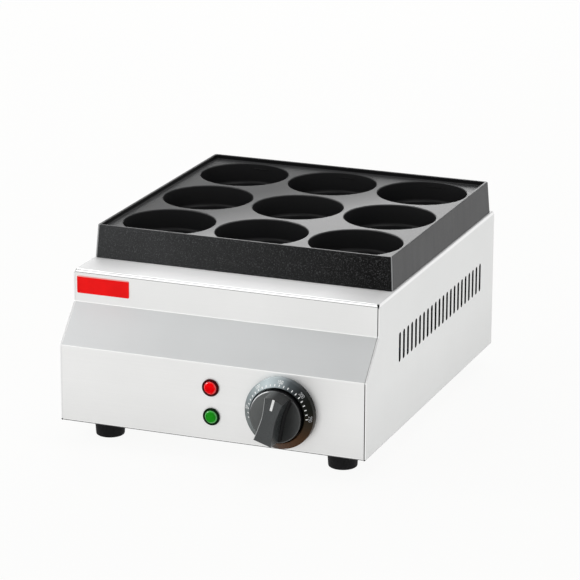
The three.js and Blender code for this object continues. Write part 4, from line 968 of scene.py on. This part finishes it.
def knob():
    """The knob: a dished round base and a waisted grip that flares into it."""
    plastic, wall, dish, edge, rim = range(5)
    radius, face, back = KNOB_RADIUS, KNOB_FACE, KNOB_BACK
    skin = Skin()
    outside = [(radius - 3.0, back), (radius - 0.4, back), (radius, back + 0.4),
               (radius - 0.15, face - 1.3)]
    rim_line = [outside[-1], *arc((radius - 1.35, face - 1.2), 1.2, 5, 80, 5)]
    bowl = [(r, face - DISH * (1 - (r / (radius - 1.0)) ** 2))
            for r in (28.2, 27, 25, 22, 18, 13, 7, 0.5)]
    skin.loft(circles(outside, 144), wall, first=True)
    # The rim's upper-left crescent is a painted highlight
    skin.loft(circles(rim_line, 144), rim)
    skin.loft(circles([rim_line[-1], *bowl], 144), dish, last=True)

    root, draft, bevel = 4.2, 0.35, 0.7
    root_steps, bevel_steps = 6, 4
    foot = face - DISH + 0.1
    levels = [(foot - 1.0, root, 0.0), (foot, root, 0.0)]
    for i, (x, y) in enumerate(arc((0, 0), root, 0, 90, root_steps)[1:], 1):
        levels.append((foot + (root - x) * 0.8, root - y + draft * i / root_steps, 0.0))
    levels.append((KNOB_REACH - bevel, 0.0, draft))
    for x, y in arc((0, 0), bevel, 0, 90, bevel_steps)[1:]:
        levels.append((KNOB_REACH - bevel + y, x - bevel, draft + bevel - x))
    rings = [grip_ring(*level) for level in levels]
    # The grip's foot follows the rise of the dish
    for row, weight in enumerate((1.0, 1.0, 0.9, 0.75, 0.55, 0.35, 0.15)):
        rise = weight * DISH / (radius - 1.0) ** 2
        rings[row] = [(x, y, z + rise * min(math.hypot(x, y), 26.0) ** 2)
                      for x, y, z in rings[row]]
    tip_start = GRIP_STEPS + 1
    tip_end = tip_start + TIP_STEPS - 1
    left_end = tip_end + tip_start

    def grip_slot(row, i):
        """Right root in painted shade, foot and tip in painted light, left bevel a painted
        highlight, rest plain.
        """
        if row < root_steps and i < tip_start - 1:
            return wall
        if row >= len(rings) - 1 - bevel_steps and tip_end <= i < left_end - 1:
            return edge
        return dish if row <= root_steps or tip_start - 1 <= i < tip_end else plastic

    skin.loft(rings, grip_slot, first=True, last=True)
    finish_piece("knob_grip", skin.moved(TILTED, AT_KNOB),
                 ["knob_plastic", "knob_black_and_painted_shade", "knob_dish_painted_light_and_shade", "knob_edge_painted_highlight", "knob_rim_painted_highlight"],
                 ["thermostat_knob"], "knob", sharp=40)


def pointer():
    """The inlaid white line on the knob's front."""
    half, low, high = 1.4, 15.4, 28.5
    outline = rounded([(-half, low), (half, low), (half, high), (-half, high)],
                      [0.5, 0.5, 0.3, 0.3], 4)
    sides = [right_of(a, b) for a, b in zip(outline[-1:] + outline, outline[1:] + outline[:1])]
    rings = [[(x + way.x * out, y + way.y * out, z) for (x, y), way in zip(outline, sides)]
             for out, z in ((0.0, KNOB_REACH - 0.6), (0.0, KNOB_REACH + 0.06),
                            (-0.12, KNOB_REACH + 0.14))]
    skin = Skin().loft(rings, first=True, last=True)
    finish_piece("pointer_line", skin.moved(TILTED, AT_KNOB), ["print_white"],
                 ["knob_pointer"], "knob")


def lamp(colour):
    """A lamp's jewel: a round flange darkened as painted shade, a bevel and a slightly domed face.
    """
    face, flange, bevel = range(3)
    profile = [(6.0, -23.5), (6.0, 0.0), (9.4, 0.0), (9.8, 0.4), (9.85, 1.0),
               *arc((9.25, 1.2), 0.6, 10, 80, 4), (7.2, 1.95), (6.95, 2.05),
               (5.95, 3.0), (5.75, 3.1), (4.0, 3.2), (2.0, 3.3)]
    loops = circles(profile, 64)
    skin = Skin().loft(loops[:-5], flange).loft(loops[-6:-3], bevel).loft(loops[-4:], face)
    skin.face(loops[0], flange)
    skin.face(loops[-1], face)
    x, z = LAMPS[colour]
    finish_piece("lamp_jewel_" + colour, skin.moved(facing_front(x, FRONT_Y, z)),
                 [look + colour for look in ("face_", "flange_", "bevel_")],
                 ["lamp_lens_" + colour])


def foot(place):
    """A moulded rubber foot: tapered, with a grooved waist and a recess for its bolt."""
    low, high = box_mm("foot_" + place)
    centre = ((low[0] + high[0]) / 2, (low[1] + high[1]) / 2)
    top = high[2]
    profile = [(2.8, top), (17.4, top), (17.8, top - 0.4), (17.75, top - 3.0), (17.0, top - 3.6),
               (16.8, top - 4.4), (17.4, top - 5.0), (16.1, 1.6), (15.8, 0.6), (15.0, 0.0),
               (12.4, 0.0), (11.8, 0.6), (9.4, 0.6), (8.8, 0.0), (6.4, 0.0), (6.0, 0.4),
               (6.0, 12.0), (2.8, 12.0), (2.8, top)]
    finish_piece("foot_turned_" + place, Skin().loft(circles(profile, 64, centre)), ["rubber"],
                 ["foot_" + place])


def badge():
    """A bare red plate with a softly raised border, fixed to the band's left end."""
    rings = []
    for out, height in ((0.0, 0.0), (0.0, 0.45), (-0.15, 0.6), (-0.9, 0.6), (-1.1, 0.45)):
        outline = rounded_rectangle(BADGE_HALF_X + out, BADGE_HALF_Z + out, 1.4 + out, 5)
        rings.append([(x, y, height) for x, y in outline])
    skin = Skin().loft(rings, first=True, last=True)
    # The border's top rows get a lighter pink: a painted highlight
    skin.faces = [(points, int(min(p.y for p in points) > BADGE_HALF_Z - 1.2))
                  for points, _ in skin.faces]
    finish_piece("badge_bare", skin.moved(facing_front(BADGE_X, BAND_Y, BADGE_Z)),
                 ["badge_red", "badge_glint"])


def pan_screw(name, place):
    """A small pan-head screw with a cross recess, its head to the rear."""
    head, top, floor = 1.9, 1.8, 1.2
    profile = [(1.4, -2.5), (1.4, 0.0), (3.4, 0.0), (3.5, 0.3), (3.3, 1.0), (2.6, 1.6), (head, top)]
    skin = Skin().loft(circles(profile, 32), first=True)
    arm, width = 1.5, 0.32
    cross = [(width, width), (width, arm), (-width, arm)]
    for _ in range(9):
        x, y = cross[-3]
        cross.append((-y, x))
    skin.flat(circle(head, 32), [cross], top)
    skin.loft([[(x, y, top) for x, y in cross], [(x * 0.7, y * 0.7, floor) for x, y in cross]],
              last=True)
    turn = Vector(UPWARD).rotation_difference(Vector(REARWARD)).to_matrix().to_4x4()
    spin = Matrix.Rotation(random.uniform(0, math.pi), 4, "Z")
    skin.moved(Matrix.Translation(place) @ turn @ spin)
    finish_piece(name, skin, ["screw_steel"])


housing_sheet()
casting()
dial()
dial_print()
knob()
pointer()
for lamp_colour in LAMPS:
    lamp(lamp_colour)
for corner_name in ("front_left", "front_right", "rear_left", "rear_right"):
    foot(corner_name)
badge()
screw_places = [(x, REAR_Y, z) for z in (173, 39) for x in (-150, 0, 150)]
for i, screw_place in enumerate(screw_places):
    pan_screw(f"back_screw_{i + 1}", screw_place)


# CAD nodes that stay, with their own materials

def dress(look, *starts):
    """Gives a look to the nodes whose names start so."""
    for name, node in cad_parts.items():
        if name.startswith(starts):
            node.data.materials.clear()
            node.data.materials.append(LOOKS[look])


dress("steel_rear_painted_shade", "back_panel")
dress("steel_back", "base_plate", "heat_shield")
dress("zinc", "support_rail_", "clamp_bar_", "sensor_clip", "thermostat_shaft", "thermostat_body")
dress("screw_steel", "clamp_stud_", "clamp_nut_", "foot_bolt_", "foot_nut_", "thermostat_screw_")
dress("element_sheath", "heating_element_")
dress("insulation", "insulation_pad")
dress("copper", "sensor_bulb", "capillary_tube")
dress("black_plastic", "gland_", "lamp_nut_")
dress("brass", "bonding_")
dress("block_plastic", "terminal_block")
dress("wire_red", "wire_live", "wire_load", "wire_link_")
dress("wire_blue", "wire_neutral")


# Studio

# Share of plain white in the floor as camera, glossy and clear rays see it
FLOOR_WHITE_SHARE = 0.94
# The surround's grey at the sine of each elevation
WORLD_STOPS = ((0.0, 1.0), (0.32, 1.0), (0.72, 0.5), (1.0, 0.44))


def studio_floor():
    """A pale floor that keeps the object's shadow and is mostly plain white to these rays."""
    bpy.ops.mesh.primitive_plane_add(size=40)
    floor = bpy.context.object
    floor.name = "floor"
    g = Graph("floor_white")
    floor.data.materials.append(g.owner)
    g.set(Base_Color=(0.8, 0.8, 0.8), Roughness=0.9, Specular_IOR_Level=0.0)
    path = g.add("LightPath").outputs
    seen = path["Is Camera Ray"]
    for ray in ("Is Glossy Ray", "Is Transmission Ray"):
        seen = g.add("Math", {0: seen, 1: path[ray]}, operation="MAXIMUM").outputs[0]
    share = g.add("Math", {0: seen, 1: FLOOR_WHITE_SHARE}, operation="MULTIPLY")
    white = g.add("Emission", {"Color": (0.985, 0.985, 0.98)})
    mix = g.add("MixShader", {0: share.outputs[0], 1: g.shader.outputs[0], 2: white.outputs[0]})
    g.feed(g.tree.nodes["Material Output"].inputs["Surface"], mix.outputs[0])


def studio_world():
    """A white tent with a darker ceiling."""
    g = Graph("studio", world=True)
    height = g.add("SeparateXYZ", {0: g.place}).outputs["Z"]
    g.set(Color=g.ramp(height, *WORLD_STOPS), Strength=1.0)
    bpy.context.scene.world = g.owner


def soft_lamp(name, place, target_z, size, power):
    """An area light in metres, aimed at a point over the origin."""
    data = bpy.data.lights.new(name, "AREA")
    data.shape = "RECTANGLE"
    data.size, data.size_y = size
    data.energy = power
    light = add_object(name, data)
    light.location = place
    aim = Vector((0, 0, target_z)) - Vector(place)
    light.rotation_euler = aim.to_track_quat("-Z", "Y").to_euler()


def photo_camera():
    data = bpy.data.cameras.new("camera")
    data.lens = CAMERA_LENS
    data.clip_start, data.clip_end = 0.05, 100
    camera = add_object("camera", data)
    matrix = Matrix.Translation(Vector(CAMERA_PLACE) * MM)
    for angle, axis in ((CAMERA_AZIMUTH, "Z"), (90 - CAMERA_ELEVATION, "X"), (CAMERA_ROLL, "Z")):
        matrix = matrix @ Matrix.Rotation(math.radians(angle), 4, axis)
    camera.matrix_world = matrix
    bpy.context.scene.camera = camera


studio_floor()
studio_world()
soft_lamp("rear_left", (-0.95, 2.7, 1.2), 0.2, (1.8, 1.2), 20)
soft_lamp("left", (-2.3, -0.5, 1.7), 0.1, (0.9, 1.4), 17)
soft_lamp("overhead", (0.45, 0.1, 2.3), 0.2, (0.8, 0.8), 10)
soft_lamp("upper_rear", (-1.0, 1.5, 2.2), 0.2, (0.9, 0.9), 9)
soft_lamp("front_top", (-1.0, -2.1, 1.9), 0.15, (1.0, 0.8), 8)
photo_camera()
bpy.context.scene.view_settings.view_transform = "Standard"
